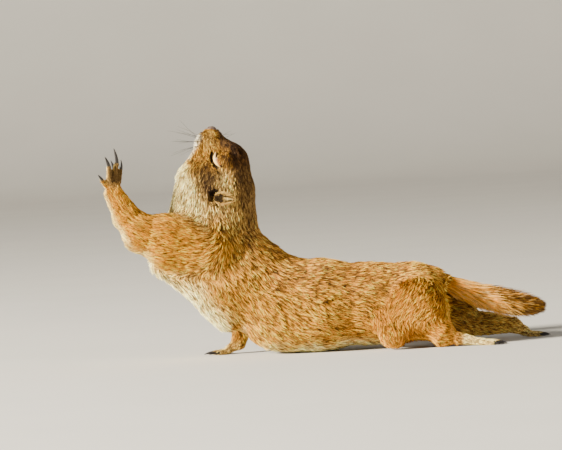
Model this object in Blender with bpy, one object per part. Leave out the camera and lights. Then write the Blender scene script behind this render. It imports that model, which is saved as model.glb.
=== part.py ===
"""A life-size prairie dog that lies stretched on its belly, head thrown back, left hand raised.

Blender script: blender --background --python part.py

The animal faces -X with its left side towards -Y, and +Z is up. Every size below is in
millimetres and is turned into metres as the meshes are made. Flesh is modelled like clay:
rounded masses are blended in a block of space, the surface of the blend is taken, thinned
to a few thousand triangles, levelled where it rests on the floor, and parted into the
animal's named pieces by thin cuts. Claws, ears, eyes and the tail are shaped one by one
from their own few sizes.
"""

import itertools
import math
from dataclasses import dataclass

import bmesh
import bpy
import numpy as np
from mathutils import Matrix, Vector

MM = 0.001
GAP = 0.3
WELD = 0.0001
FAR = 60.0
SEED = 11

# Where the spine and the limbs bend, as (along X, towards +Y, up Z).
PELVIS = (62.0, 0.0, 39.8)
LOIN = (27.0, 0.0, 37.2)
WAIST = (-15.0, 0.0, 38.5)
RIBS = (-47.0, 0.0, 43.2)
CHEST = (-82.0, 0.0, 66.5)
WITHERS = (-99.0, 0.0, 94.0)
NECK = (-98.5, 0.0, 118.0)
NAPE = (-97.0, 0.0, 138.0)
SKULL = (-91.8, 0.0, 150.9)
HEAD_TILT = math.radians(6.5)
BREAST = ((-141.5, 0.0, 83.5), (-112.0, 0.0, 53.0), (-96.0, 0.0, 34.0))

LEFT_SHOULDER = (-108.0, -20.0, 94.0)
LEFT_UPPER_ARM = (-139.5, -27.0, 101.5)
LEFT_ELBOW = (-160.5, -31.0, 108.5)
LEFT_FOREARM = (-172.8, -32.0, 122.5)
LEFT_WRIST = (-183.0, -32.0, 143.0)
RIGHT_SHOULDER = (-92.0, 24.0, 66.0)
RIGHT_ELBOW = (-80.0, 33.0, 31.0)
RIGHT_WRIST = (-86.0, 32.0, 8.5)
LEFT_HIP = (66.0, -25.0, 33.0)
LEFT_KNEE = (46.0, -38.0, 15.0)
LEFT_SHANK = (86.0, -38.0, 10.5)
LEFT_ANKLE = (96.0, -41.0, 6.5)
RIGHT_HIP = (70.0, 25.0, 33.0)
RIGHT_KNEE = (100.0, 39.0, 15.5)
RIGHT_ANKLE = (149.0, 35.0, 10.0)
RIGHT_HAM = ((80.0, 27.0, 36.0), (107.0, 26.0, 28.5))
TAIL_ROOT = (93.0, 0.0, 51.5)
TAIL_SAG = ((112.0, -1.0, 40.5), (138.0, -3.0, 31.0))
TAIL_TIP = (178.0, -4.0, 25.5)
FLOOR = -1.0

# Half thicknesses of the limbs at the places above.
LEFT_ARM_RADII = (27.0, 23.2, 17.6, 12.3, 8.2)
RIGHT_ARM_RADII = (21.0, 11.5, 6.2)
LEFT_KNEE_RADII = (27.0, 15.0)
LEFT_LEG_RADII = (27.0, 11.5, 6.3)
RIGHT_LEG_RADII = (26.0, 14.5, 7.3)
RIGHT_HAM_RADII = (16.0, 11.5)

CELL_BODY = 1.4
CELL_HEAD = 0.7
CELL_PAW = 0.6
BODY_FACES = 3400
HEAD_FACES = 3550
PAW_FACES = 520

NOSE_PLACE = (40.8, -2.2)
NOSE_RADII = (4.4, 5.2, 5.2)
LOCK_TIERS = (0.06, 0.2, 0.33, 0.45, 0.56, 0.66, 0.75)
LOCKS_ROUND = 8
LOCK_REACH = 0.3
LOCK_WIDTH = 3.5
LOCK_DEPTH = 1.3
LOCK_SWING = 0.2
BRUSH_WIDTH = 13.2
BRUSH_END = 0.88
DIGIT_RADIUS = 2.2
CLAW_RADIUS = 1.15

FUR = (0.55, 0.33, 0.13)
FUR_PALE = (0.72, 0.56, 0.34)
FUR_TAIL = (0.42, 0.23, 0.09)
SKIN_DARK = (0.09, 0.06, 0.05)
HORN = (0.03, 0.028, 0.03)
EYE_BLACK = (0.012, 0.008, 0.006)
MATT, GLOSSY = 0.85, 0.3


def unit(vector):
    """The vector at length one."""
    vector = np.asarray(vector, float)
    return vector / np.linalg.norm(vector)


def smooth_min(here, there, blend):
    """The smaller of two fields, with a fillet about as wide as blend where they meet."""
    share = np.clip(0.5 + 0.5 * (here - there) / blend, 0.0, 1.0)
    return here * (1 - share) + there * share - blend * share * (1 - share)


@dataclass(frozen=True)
class Rod:
    """A tapered rod with round ends, as wide sideways as width times its height."""

    start: tuple
    end: tuple
    start_radius: float
    end_radius: float
    width: float = 1.0

    def reach(self):
        """The lowest and highest corner of the box that holds it."""
        ends = np.array([self.start, self.end])
        radii = np.array([[self.start_radius], [self.end_radius]])
        radii = radii * np.array([1.0, self.width, 1.0])
        return (ends - radii).min(0), (ends + radii).max(0)

    def distance(self, x, y, z):
        """How far each point lies outside it, negative inside."""
        squeeze = np.array([1.0, 1.0 / self.width, 1.0])
        a = np.array(self.start) * squeeze
        b = np.array(self.end) * squeeze
        along = b - a
        px, py, pz = x - a[0], y * squeeze[1] - a[1], z - a[2]
        share = (px * along[0] + py * along[1] + pz * along[2]) / float(along @ along)
        share = np.clip(share, 0.0, 1.0)
        px, py, pz = px - along[0] * share, py - along[1] * share, pz - along[2] * share
        radius = self.start_radius + (self.end_radius - self.start_radius) * share
        return np.sqrt(px * px + py * py + pz * pz) - radius


@dataclass(frozen=True)
class Egg:
    """An ellipsoid. Its own axes are the rows of turn, and radii are measured along them."""

    centre: tuple
    radii: tuple
    turn: tuple = ((1.0, 0.0, 0.0), (0.0, 1.0, 0.0), (0.0, 0.0, 1.0))

    def reach(self):
        """The lowest and highest corner of the box that holds it."""
        half = np.sqrt(((np.array(self.turn) * np.array(self.radii)[:, None]) ** 2).sum(0))
        return np.array(self.centre) - half, np.array(self.centre) + half

    def distance(self, x, y, z):
        """Roughly how far each point lies outside it, negative inside."""
        px, py, pz = x - self.centre[0], y - self.centre[1], z - self.centre[2]
        near, steep = 0.0, 0.0
        for axis, radius in zip(self.turn, self.radii):
            share = (px * axis[0] + py * axis[1] + pz * axis[2]) / radius
            near = near + share**2
            steep = steep + (share / radius) ** 2
        near = np.sqrt(near)
        return near * (near - 1.0) / np.sqrt(np.maximum(steep, 1e-9))


class Clay:
    """A block of space in which masses are blended and carved, and its surface taken."""

    def __init__(self, low, high, cell):
        self.cell = cell
        self.low = np.array(low, float) + 0.37 * cell
        count = np.ceil((np.array(high) - self.low) / cell).astype(int) + 1
        self.value = np.full(count, FAR, np.float32)

    def window(self, masses, margin):
        """The part of the block near some masses: its slices and its three coordinates."""
        reaches = [mass.reach() for mass in masses]
        low = np.min([reach[0] for reach in reaches], axis=0) - margin - 3 * self.cell
        high = np.max([reach[1] for reach in reaches], axis=0) + margin + 3 * self.cell
        first = np.floor((low - self.low) / self.cell).astype(int)
        last = np.ceil((high - self.low) / self.cell).astype(int) + 1
        first = np.clip(first, 0, self.value.shape)
        last = np.clip(last, 0, self.value.shape)
        slices = tuple(slice(a, b) for a, b in zip(first, last))
        shapes = ((-1, 1, 1), (1, -1, 1), (1, 1, -1))
        places = [
            (self.low[i] + self.cell * np.arange(first[i], last[i])).reshape(shapes[i])
            for i in range(3)
        ]
        return slices, places

    def add(self, masses, inner, outer):
        """Adds masses that blend by inner with each other, and by outer with the rest."""
        slices, places = self.window(masses, outer)
        joined = None
        for mass in masses:
            there = mass.distance(*places).astype(np.float32)
            joined = there if joined is None else smooth_min(joined, there, inner)
        self.value[slices] = smooth_min(self.value[slices], joined, outer)

    def carve(self, masses, blend):
        """Takes masses away, and rounds the rim of their hollow by blend."""
        slices, places = self.window(masses, blend)
        hollow = None
        for mass in masses:
            there = mass.distance(*places).astype(np.float32)
            hollow = there if hollow is None else smooth_min(hollow, there, blend)
        self.value[slices] = -smooth_min(-self.value[slices], hollow, blend)

    def side_at(self, place, side):
        """How far out the surface lies, straight sideways from a place."""
        i = int(round((place[0] - self.low[0]) / self.cell))
        k = int(round((place[2] - self.low[2]) / self.cell))
        column = self.value[i, :, k]
        within = np.nonzero(column < 0)[0]
        j = within[0] if side < 0 else within[-1]
        share = column[j] / (column[j] - column[j + side])
        return self.low[1] + self.cell * (j + side * share)

    def surface(self):
        """Points and triangles of the zero surface, facing out.

        Each cell that the surface crosses is split into six tetrahedra that share its
        long diagonal, and each of those is cut by one flat triangle or a pair of them.
        Where the flesh runs out of the block it is closed by the block's own wall.
        """
        walled = self.value.copy()
        for axis in range(3):
            for end in (0, -1):
                wall = np.moveaxis(walled, axis, 0)[end]
                np.maximum(wall, 0.5 * self.cell, out=wall)
        value = walled.ravel()
        inside = walled < 0
        size = np.array(walled.shape)
        hits = sum(
            inside[a : size[0] - 1 + a, b : size[1] - 1 + b, c : size[2] - 1 + c].astype(int)
            for a, b, c in itertools.product((0, 1), repeat=3)
        )
        stride = np.array([size[1] * size[2], size[2], 1])
        base = np.argwhere((hits > 0) & (hits < 8)) @ stride
        tetrahedra = []
        for order in itertools.permutations(range(3)):
            steps = [0, stride[order[0]], stride[order[0]] + stride[order[1]], stride.sum()]
            tetrahedra.append(np.stack([base + step for step in steps], 1))
        tetrahedra = np.concatenate(tetrahedra)
        within = value[tetrahedra] < 0
        count = within.sum(1)
        edges = []
        for wanted, flag in ((1, True), (3, False)):
            chosen = count == wanted
            order = np.argsort(within[chosen] != flag, axis=1, kind="stable")
            four = np.take_along_axis(tetrahedra[chosen], order, 1)
            edges.append(four[:, [[0, 1], [0, 2], [0, 3]]])
        chosen = count == 2
        order = np.argsort(~within[chosen], axis=1, kind="stable")
        four = np.take_along_axis(tetrahedra[chosen], order, 1)
        edges.append(four[:, [[0, 2], [0, 3], [1, 3]]])
        edges.append(four[:, [[0, 2], [1, 3], [1, 2]]])
        edges = np.sort(np.concatenate(edges), axis=2).reshape(-1, 2)
        keys, faces = np.unique(edges[:, 0] * value.size + edges[:, 1], return_inverse=True)
        first, second = keys // value.size, keys % value.size
        share = value[first] / (value[first] - value[second])
        a = np.stack(np.unravel_index(first, walled.shape), 1)
        b = np.stack(np.unravel_index(second, walled.shape), 1)
        points = self.low + self.cell * (a + (b - a) * share[:, None])
        faces = faces.reshape(-1, 3)
        outward = (b - a) * np.where(value[first] < 0, 1, -1)[:, None]
        one, two, three = (points[faces[:, i]] for i in range(3))
        turned = (np.cross(two - one, three - one) * outward[faces].sum(1)).sum(1) < 0
        faces[turned] = faces[turned][:, ::-1]
        return points, faces


def new_object(name, points, faces):
    """A mesh object made from points in millimetres."""
    mesh = bpy.data.meshes.new(name)
    mesh.from_pydata((np.asarray(points) * MM).tolist(), [], [list(face) for face in faces])
    mesh.update()
    obj = bpy.data.objects.new(name, mesh)
    bpy.context.scene.collection.objects.link(obj)
    return obj


def settle(obj):
    """Applies an object's modifiers to its mesh."""
    bpy.context.view_layer.update()
    graph = bpy.context.evaluated_depsgraph_get()
    mesh = bpy.data.meshes.new_from_object(obj.evaluated_get(graph))
    obj.modifiers.clear()
    obj.data = mesh
    return obj


def thinned(obj, faces):
    """Collapses an object's mesh to about this many triangles."""
    modifier = obj.modifiers.new("thin", "DECIMATE")
    modifier.ratio = min(1.0, faces / len(obj.data.polygons))
    return settle(obj)


def discard(*objects):
    """Removes helpers from the scene."""
    for obj in objects:
        bpy.data.objects.remove(obj)


def largest_body(obj):
    """Keeps only the object's largest closed surface."""
    mesh = obj.data
    faces = [tuple(polygon.vertices) for polygon in mesh.polygons]
    group = list(range(len(mesh.vertices)))

    def root(i):
        while group[i] != i:
            group[i] = group[group[i]]
            i = group[i]
        return i

    for face in faces:
        for vertex in face[1:]:
            group[root(vertex)] = root(face[0])
    bodies = {}
    for face in faces:
        bodies.setdefault(root(face[0]), []).append(face)
    if len(bodies) < 2:
        return obj
    kept = max(bodies.values(), key=len)
    used = sorted({vertex for face in kept for vertex in face})
    index = {vertex: i for i, vertex in enumerate(used)}
    fresh = bpy.data.meshes.new(obj.name)
    corners = [tuple(mesh.vertices[vertex].co) for vertex in used]
    fresh.from_pydata(corners, [], [[index[vertex] for vertex in face] for face in kept])
    obj.data = fresh
    return obj


def mended(obj):
    """Welds points that all but touch, drops slivers without area, and leaves triangles."""
    surface = bmesh.new()
    surface.from_mesh(obj.data)
    bmesh.ops.remove_doubles(surface, verts=surface.verts, dist=WELD * MM)
    bmesh.ops.dissolve_degenerate(surface, edges=surface.edges, dist=WELD * MM)
    bmesh.ops.triangulate(surface, faces=surface.faces)
    surface.to_mesh(obj.data)
    surface.free()
    return obj


def boolean(obj, cutter, operation):
    """Cuts, keeps or joins by another closed mesh, and keeps the largest body."""
    modifier = obj.modifiers.new(operation.lower(), "BOOLEAN")
    modifier.object = cutter
    modifier.operation = operation
    modifier.solver = "EXACT"
    return mended(largest_body(settle(obj)))


def copy_of(obj, name):
    """A second object with its own copy of the mesh."""
    twin = bpy.data.objects.new(name, obj.data.copy())
    bpy.context.scene.collection.objects.link(twin)
    return twin


def flesh(name, clay, faces):
    """The surface of a block of clay as an object of about this many triangles."""
    return thinned(new_object(name, *clay.surface()), faces)


def tube_faces(rings, sides):
    """Faces of a closed tube: side walls, and a fan of triangles at each end.

    Points run ring after ring, followed by the first and the last end point.
    """
    faces = []
    for ring, side in itertools.product(range(rings - 1), range(sides)):
        a = ring * sides + side
        b = ring * sides + (side + 1) % sides
        faces.append((a, a + sides, b + sides))
        faces.append((a, b + sides, b))
    first, last, top = rings * sides, rings * sides + 1, (rings - 1) * sides
    for side in range(sides):
        after = (side + 1) % sides
        faces.append((first, side, after))
        faces.append((last, top + after, top + side))
    return faces


def tube(name, path, radii, up, sides, start, end, height=1.0):
    """A closed tube along a path, height times as high as wide, with a point at each end."""
    path = np.asarray(path, float)
    heading = np.gradient(path, axis=0)
    side = np.cross(heading, np.asarray(up, float))
    side /= np.linalg.norm(side, axis=1)[:, None]
    over = np.cross(side, heading)
    over /= np.linalg.norm(over, axis=1)[:, None]
    turn = (2 * math.pi * np.arange(sides) / sides)[:, None]
    spokes = side[:, None] * np.cos(turn) + height * over[:, None] * np.sin(turn)
    points = (path[:, None] + np.asarray(radii, float)[:, None, None] * spokes).reshape(-1, 3)
    points = np.concatenate([points, [start], [end]])
    obj = new_object(name, points, tube_faces(len(path), sides))
    obj.data.shade_smooth()
    return obj


def ball(name, centre, radii, turn=np.eye(3), rings=7, sides=14):
    """A closed ellipsoid with its axes the rows of turn."""
    angle = np.linspace(0, math.pi, rings + 2)[1:-1, None]
    turning = 2 * math.pi * np.arange(sides) / sides
    x = np.cos(angle) * np.ones(sides)
    y = np.sin(angle) * np.cos(turning)
    z = np.sin(angle) * np.sin(turning)
    points = np.stack([x, y, z], -1).reshape(-1, 3)
    points = np.concatenate([points, [[1, 0, 0]], [[-1, 0, 0]]]) * np.array(radii)
    points = points @ np.array(turn) + np.array(centre)
    obj = new_object(name, points, tube_faces(rings, sides))
    obj.data.shade_smooth()
    return obj


def beyond(point, normal, reach=(60.0, 90.0, 120.0)):
    """A block that begins at the plane through point and runs along normal.

    Normal lies in the upright plane of X and Z, and reach is half the block's size along
    normal, along Y, and square to both.
    """
    out = unit(normal)
    across = np.array([0.0, 1.0, 0.0])
    axes = np.stack([out, across, np.cross(out, across)]) * np.array(reach)[:, None]
    signs = np.array(list(itertools.product((-1, 1), repeat=3)))
    points = np.array(point) + axes[0] + signs @ axes
    faces = [(0, 1, 3, 2), (4, 6, 7, 5), (0, 4, 5, 1), (2, 3, 7, 6), (0, 2, 6, 4), (1, 5, 7, 3)]
    return new_object("beyond", points, faces)


def capsule(start, end, start_radius, end_radius, grow):
    """A rod with round ends, a little larger by grow."""
    a, b = np.array(start, float), np.array(end, float)
    run = unit(b - a)
    low, high = start_radius + grow, end_radius + grow
    turn = np.linspace(math.pi / 2, 0, 4)[1:]
    path = [a - run * low * math.sin(t) for t in turn]
    path += [b + run * high * math.sin(t) for t in turn[::-1]]
    radii = [low * math.cos(t) for t in turn] + [high * math.cos(t) for t in turn[::-1]]
    return tube("capsule", path, radii, (0.0, 1.0, 0.0), 12, a - run * low, b + run * high)


def cut(obj, *cutters):
    """Takes the cutters away from an object, and removes them."""
    for cutter in cutters:
        boolean(obj, cutter, "DIFFERENCE")
        discard(cutter)
    return obj


def parted(obj, name, shape):
    """Parts off what lies inside a shape made by shape(grow), with GAP between the two."""
    inner = shape(-GAP / 2)
    piece = boolean(copy_of(obj, name), inner, "INTERSECT")
    discard(inner)
    cut(obj, shape(GAP / 2))
    return piece


def plane(point, normal, reach=(60.0, 90.0, 120.0)):
    """A shape for parted: all that lies beyond a plane."""
    return lambda grow: beyond(np.array(point) - unit(normal) * grow, normal, reach)


HEAD_AXES = (
    (-math.sin(HEAD_TILT), 0.0, math.cos(HEAD_TILT)),
    (math.cos(HEAD_TILT), 0.0, math.sin(HEAD_TILT)),
    (0.0, 1.0, 0.0),
)


def on_head(forward, over, side=0.0):
    """A place on the head: forward towards the nose, over towards the crown, and sideways."""
    return tuple(np.array(SKULL) + np.array([forward, over, side]) @ np.array(HEAD_AXES))


def knead(clay):
    """Adds trunk, neck, throat and limbs, without the head, the hands and the feet."""
    for mass in (
        Rod(PELVIS, LOIN, 32.0, 34.4, 1.12),
        Rod(LOIN, WAIST, 34.4, 38.8, 1.13),
        Rod(WAIST, RIBS, 38.8, 38.0, 1.08),
        Rod(RIBS, CHEST, 38.0, 39.5, 0.98),
        Rod(CHEST, WITHERS, 39.5, 35.0, 0.93),
        Rod(WITHERS, NECK, 35.0, 33.5, 0.86),
        Rod(NECK, NAPE, 33.5, 31.5, 0.82),
        Rod(on_head(2, -20), on_head(-26, -26), 19.0, 25.0, 0.9),
    ):
        clay.add([mass], 1.0, 8.0)
    for masses in (
        (Rod(*BREAST[:2], 15.7, 11.6, 1.4), Rod(*BREAST[1:], 11.6, 12.0, 1.5)),
        (Egg((-38.0, 0.0, 24.0), (40.0, 36.0, 23.0)),),
        (Rod((84.0, 0.0, 50.5), (100.0, 0.0, 47.0), 12.5, 5.2),),
    ):
        clay.add(masses, 1.0, 12.0)
    for chain, radii in (
        ((LEFT_SHOULDER, LEFT_UPPER_ARM, LEFT_ELBOW, LEFT_FOREARM, LEFT_WRIST), LEFT_ARM_RADII),
        ((RIGHT_SHOULDER, RIGHT_ELBOW, RIGHT_WRIST), RIGHT_ARM_RADII),
        ((LEFT_HIP, LEFT_KNEE), LEFT_KNEE_RADII),
        ((LEFT_HIP, LEFT_SHANK, LEFT_ANKLE), LEFT_LEG_RADII),
        ((RIGHT_HIP, RIGHT_KNEE, RIGHT_ANKLE), RIGHT_LEG_RADII),
        (RIGHT_HAM, RIGHT_HAM_RADII),
    ):
        rods = [Rod(*run) for run in zip(chain, chain[1:], radii, radii[1:])]
        clay.add(rods, 3.0, 9.0)


def along_curve(places):
    """A smooth run of places through a few, as rods need them."""
    places = np.array(places, float)
    share = np.linspace(0, len(places) - 1, 3 * len(places) - 2)
    known = np.arange(len(places))
    return np.stack([np.interp(share, known, places[:, i]) for i in range(places.shape[1])], 1)


def eye_line(share):
    """The closed eye's slit as (forward, over), from its front corner to its back corner."""
    return 22.8 - 13.1 * share, 0.2 - 2.3 * np.sin(math.pi * share) + 1.6 * share


class Face:
    """The head's clay, and the places on it where eyes, ears and mouth go."""

    MOUTH = ((38.8, -9.6), (36.0, -10.2), (31.5, -11.0), (27.5, -11.8), (24.0, -12.8))
    EYE_STEPS = 7
    EAR_BASE, EAR_TIP, EAR_ROWS = (-14.8, -9.0), (-18.8, 7.5), 8

    def __init__(self):
        self.clay = Clay((-158, -38, 108), (-52, 38, 202), CELL_HEAD)
        knead(self.clay)
        self.shape_skull()
        for side in (-1, 1):
            self.shape_eye(side)
            self.shape_mouth(side)
        self.ear_lines = {side: self.ear_line(side) for side in (-1, 1)}
        for side in (-1, 1):
            self.clay.carve([Egg(self.skin(-14.0, -9.5, side, 0.5), (3.6, 3.8, 4.0), HEAD_AXES)], 1.5)

    def ear_line(self, side):
        """The ear's midline over the skin from its base to its tip, which stands clear."""
        share = np.linspace(0.0, 1.0, self.EAR_ROWS)
        forward, over = np.array(self.EAR_BASE)[:, None] + np.outer(np.subtract(self.EAR_TIP, self.EAR_BASE), share)
        sinks = 0.5 - 2.6 * share**1.5
        return np.array([self.skin(f, o, side, sink) for f, o, sink in zip(forward, over, sinks)])

    def skin(self, forward, over, side, sink=0.0):
        """The place on one side's skin, or sunk below it, at a place of the side view."""
        place = on_head(forward, over)
        return place[0], self.clay.side_at(place, side) - side * sink, place[2]

    def shape_skull(self):
        """Braincase, brow, cheeks, muzzle, chin and whisker pads."""
        masses = [
            Egg(on_head(-8, 1), (27.0, 25.0, 24.0), HEAD_AXES),
            Egg(on_head(11.5, 9), (17.0, 17.0, 19.0), HEAD_AXES),
            Rod(on_head(20, 1), on_head(33.5, -2.8), 16.0, 10.0, 0.86),
            Rod(on_head(31, -13), on_head(4, -20), 5.5, 12.0, 1.05),
        ]
        for side in (-1, 1):
            masses.append(Egg(on_head(-4, -13, 12 * side), (20.0, 17.0, 13.0), HEAD_AXES))
            masses.append(Egg(on_head(33, -7.0, 5.5 * side), (7.5, 7.2, 6.2), HEAD_AXES))
        for mass in masses:
            self.clay.add([mass], 1.0, 7.0)
        self.clay.add([Egg(on_head(*NOSE_PLACE), (3.0, 4.0, 4.6), HEAD_AXES)], 1.0, 3.0)

    def shape_eye(self, side):
        """The dome of the upper lid, the ridge of the lower one, the slit and a fold."""
        self.clay.add([Egg(on_head(15, 4, 15.5 * side), (9.0, 8.0, 8.0), HEAD_AXES)], 1.0, 3.0)
        shares = np.linspace(-0.1, 1.1, self.EYE_STEPS)
        slit = [eye_line(share) for share in shares]

        def run(shift, sink, radius):
            places = [self.skin(f, o + shift, side, sink) for f, o in slit]
            swell = np.sin(math.pi * np.linspace(0.12, 0.88, len(places)))
            sizes = radius * swell
            return [Rod(*part) for part in zip(places, places[1:], sizes, sizes[1:])]

        fold, ridge, gap = run(-4.3, -0.3, 1.5), run(-2.0, 0.2, 1.5), run(0.0, 0.1, 1.0)
        self.clay.carve(fold, 1.6)
        self.clay.add(ridge, 0.6, 1.3)
        self.clay.carve(gap, 0.5)

    def shape_mouth(self, side):
        """The line between the lips, from under the nose back along the cheek."""
        places = [on_head(41.6, -8.6)] + [self.skin(f, o, side, 0.0) for f, o in self.MOUTH]
        places = along_curve(places)
        sizes = np.linspace(0.65, 0.5, len(places))
        self.clay.carve([Rod(*part) for part in zip(places, places[1:], sizes, sizes[1:])], 0.9)
        self.clay.carve([Rod(on_head(43.0, -6.5), on_head(41.8, -8.8), 0.6, 0.6)], 0.8)

    def eye(self, side, name, grow=0.0):
        """What shows of the eye between the lids: a bead as long as the slit, pointed at both ends."""
        shares = np.linspace(0.06, 0.94, 6)
        path = [self.skin(*eye_line(share), side, -0.1) for share in shares]
        ends = [self.skin(*eye_line(share), side, -0.1) for share in (-0.02, 1.02)]
        radii = 1.0 * np.sin(math.pi * np.linspace(0.16, 0.84, len(path))) ** 0.6 + grow
        spread = unit(np.array(ends[1]) - np.array(ends[0])) * grow
        start, end = np.array(ends[0]) - spread, np.array(ends[1]) + spread
        return tube(name, path, radii, (0.0, 1.0, 0.0), 8, start, end, 1.15)

    def ear(self, side, name, grow=0.0):
        """A small leaf-shaped cup that lies back along the head, hollow side out.

        Its base is at the ear's hole and its tip towards the crown. Both long rims stand
        clear of the head, the back one the more, and the floor is sunk into it.
        """
        line = self.ear_lines[side]
        rows, columns, thick = len(line), 7, 0.6 + grow
        along = np.linspace(0.0, 1.0, rows)
        across = np.linspace(-1.0, 1.0, columns)
        out = np.array([0.0, float(side), 0.0])
        back = unit(np.cross(line[-1] - line[0], out)) * side
        half = 5.2 * np.sin(math.pi * (0.12 + 0.84 * along)) ** 0.7 + grow
        bowl = np.sin(math.pi * (0.1 + 0.8 * along))
        rise = np.where(across > 0, 4.0, 2.6) * np.abs(across) ** 1.8
        sheet = line[:, None] + back * (half[:, None] * across)[..., None] + out * (bowl[:, None] * rise)[..., None]
        slope = np.gradient(bowl[:, None] * rise, axis=1) / (half[:, None] * np.gradient(across))
        normal = out - back * slope[..., None]
        normal /= np.linalg.norm(normal, axis=2)[..., None]
        points = np.concatenate([(sheet + normal * thick).reshape(-1, 3), (sheet - normal * thick).reshape(-1, 3)])
        total = rows * columns
        faces = []
        for row, column in itertools.product(range(rows - 1), range(columns - 1)):
            a = row * columns + column
            for face in ((a, a + 1, a + columns + 1), (a, a + columns + 1, a + columns)):
                faces.append(face)
                faces.append(tuple(vertex + total for vertex in face[::-1]))
        rim = list(range(columns)) + [row * columns + columns - 1 for row in range(1, rows)]
        rim += [(rows - 1) * columns + column for column in range(columns - 2, -1, -1)]
        rim += [row * columns for row in range(rows - 2, 0, -1)]
        for a, b in zip(rim, rim[1:] + rim[:1]):
            faces.append((b, a, a + total))
            faces.append((b, a + total, b + total))
        if side < 0:
            faces = [face[::-1] for face in faces]
        return new_object(name, points, faces)


def nose_pad(name, grow=0.0):
    """The bare pad at the muzzle's tip."""
    radii = tuple(radius + grow for radius in NOSE_RADII)
    return ball(name, on_head(*NOSE_PLACE), radii, HEAD_AXES, 7, 12)


def nostril(side):
    """A comma-shaped hollow in the side of the nose pad."""
    path = [on_head(47.3, -3.8, 1.5 * side), on_head(43.7, -3.0, 2.0 * side), on_head(42.1, -1.0, 4.2 * side)]
    before, after = on_head(49.3, -4.4, 1.2 * side), on_head(41.3, 0.8, 6.5 * side)
    return tube("nostril", path, (1.0, 0.95, 0.8), HEAD_AXES[1], 7, before, after)


@dataclass(frozen=True)
class Digit:
    """One finger or toe: its root, knuckle and end, its claw's tip, and which way it arches."""

    name: str
    root: tuple
    knuckle: tuple
    end: tuple
    claw_tip: tuple
    arch: tuple

    def claw(self, grow=0.0):
        """Its curved claw, rooted inside its end. Grow thickens it all round."""
        end, tip = np.array(self.end), np.array(self.claw_tip)
        run = unit(tip - end)
        root = end - run * 0.4
        length = np.linalg.norm(tip - root)
        middle = (root + tip) / 2 + np.array(self.arch) * 0.15 * length
        path = [root * (1 - s) ** 2 + middle * 2 * s * (1 - s) + tip * s**2 for s in (0.0, 0.4, 0.75)]
        radii = np.array([1.0, 0.9, 0.5]) * CLAW_RADIUS * (0.8 + 0.02 * length) + grow
        start, end = root - run * (0.4 + grow), tip + run * grow
        return tube(self.name, path, radii, self.arch, 6, start, end, 1.15)


def raised_hand():
    """The digits of the left hand, fanned upwards, from the outer one inwards."""
    places = {
        "5": ((-185.5, -34.0, 145.0), (-188.4, -35.5, 149.6), (-191.2, -36.5, 153.3), (-195.0, -37.5, 159.8)),
        "4": ((-184.8, -34.0, 147.0), (-186.4, -35.0, 157.0), (-186.0, -35.5, 165.4), (-188.6, -36.5, 174.6)),
        "3": ((-182.5, -32.5, 147.0), (-181.8, -32.0, 159.5), (-179.6, -32.0, 167.6), (-181.0, -32.5, 181.2)),
        "2": ((-180.5, -30.5, 147.0), (-178.4, -28.5, 156.5), (-177.0, -27.5, 162.6), (-175.9, -27.0, 171.2)),
        "1": ((-182.0, -30.0, 146.0), (-183.0, -26.5, 153.5), (-182.2, -25.5, 161.0), (-184.4, -25.0, 171.2)),
    }
    return [Digit(f"claw_hand_left_{key}", *four, (1.0, 0.0, -0.1)) for key, four in places.items()]


def planted_paw(name, start, heading, spans, spread, claw, across):
    """The digits of a paw on the floor, in order from one side to the other.

    Start is the beginning of the palm, heading the way it points in degrees from -X,
    spans the lengths of palm and toe, and spread each toe's own turn.
    """
    turn = math.radians(heading)
    forward = np.array([-math.cos(turn), math.sin(turn), 0.0])
    aside = np.array([forward[1], -forward[0], 0.0])
    digits = []
    for number, angle in enumerate(spread):
        swing = turn + math.radians(angle)
        ahead = np.array([-math.cos(swing), math.sin(swing), 0.0])
        shorter = 1.0 - 0.011 * abs(angle)
        offset = across * (number / (len(spread) - 1) - 0.5)
        root = np.array(start) + forward * 2.0 + aside * offset * 0.4
        knuckle = np.array(start) + forward * spans[0] + aside * offset
        knuckle[2] = FLOOR + DIGIT_RADIUS + 0.3
        end = knuckle + ahead * spans[1] * shorter
        end[2] = FLOOR + DIGIT_RADIUS - 0.3
        tip = end + ahead * claw * shorter
        tip[2] = FLOOR + 0.9
        places = (tuple(place) for place in (root, knuckle, end, tip))
        digits.append(Digit(f"claw_{name}_{number + 1}", *places, (0.0, 0.0, 1.0)))
    return digits


@dataclass(frozen=True)
class Paw:
    """A hand or a foot: its digits, the limb it ends, and the plane where it is parted."""

    name: str
    digits: list
    back: tuple
    wrist: tuple
    radii: tuple
    palm: float
    cut_at: tuple
    cut_way: tuple

    def clay(self):
        """The end of the limb, the palm and the digits, blended."""
        places = [place for d in self.digits for place in (d.root, d.end)] + [self.wrist]
        low = np.min(places, axis=0) - self.radii[1] - 6
        high = np.max(places, axis=0) + self.radii[1] + 6
        clay = Clay(low, high, CELL_PAW)
        middle = np.mean([digit.knuckle for digit in self.digits], axis=0)
        palm = tuple(np.array(self.wrist) * 0.45 + middle * 0.55)
        clay.add([Rod(self.back, self.wrist, *self.radii)], 1.0, 2.0)
        clay.add([Rod(self.wrist, palm, self.radii[1] * 0.92, self.palm)], 1.0, 2.5)
        for digit in self.digits:
            clay.add([Rod(digit.root, digit.knuckle, 2.7, 2.6)], 1.0, 2.0)
        for digit in self.digits:
            clay.add([Rod(digit.knuckle, digit.end, DIGIT_RADIUS * 1.08, DIGIT_RADIUS)], 1.0, 0.8)
        return clay

    def build(self):
        """The paw without its claws, ended at the wrist and levelled on the floor."""
        paw = flesh(self.name, self.clay(), PAW_FACES)
        away = -unit(self.cut_way)
        cut(paw, beyond(np.array(self.cut_at) + away * -GAP / 2, away, (40.0, 60.0, 60.0)))
        if min(digit.end[2] for digit in self.digits) < 10.0:
            cut(paw, floor_block())
        for digit in self.digits:
            cut(paw, digit.claw(GAP))
        return paw


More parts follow.
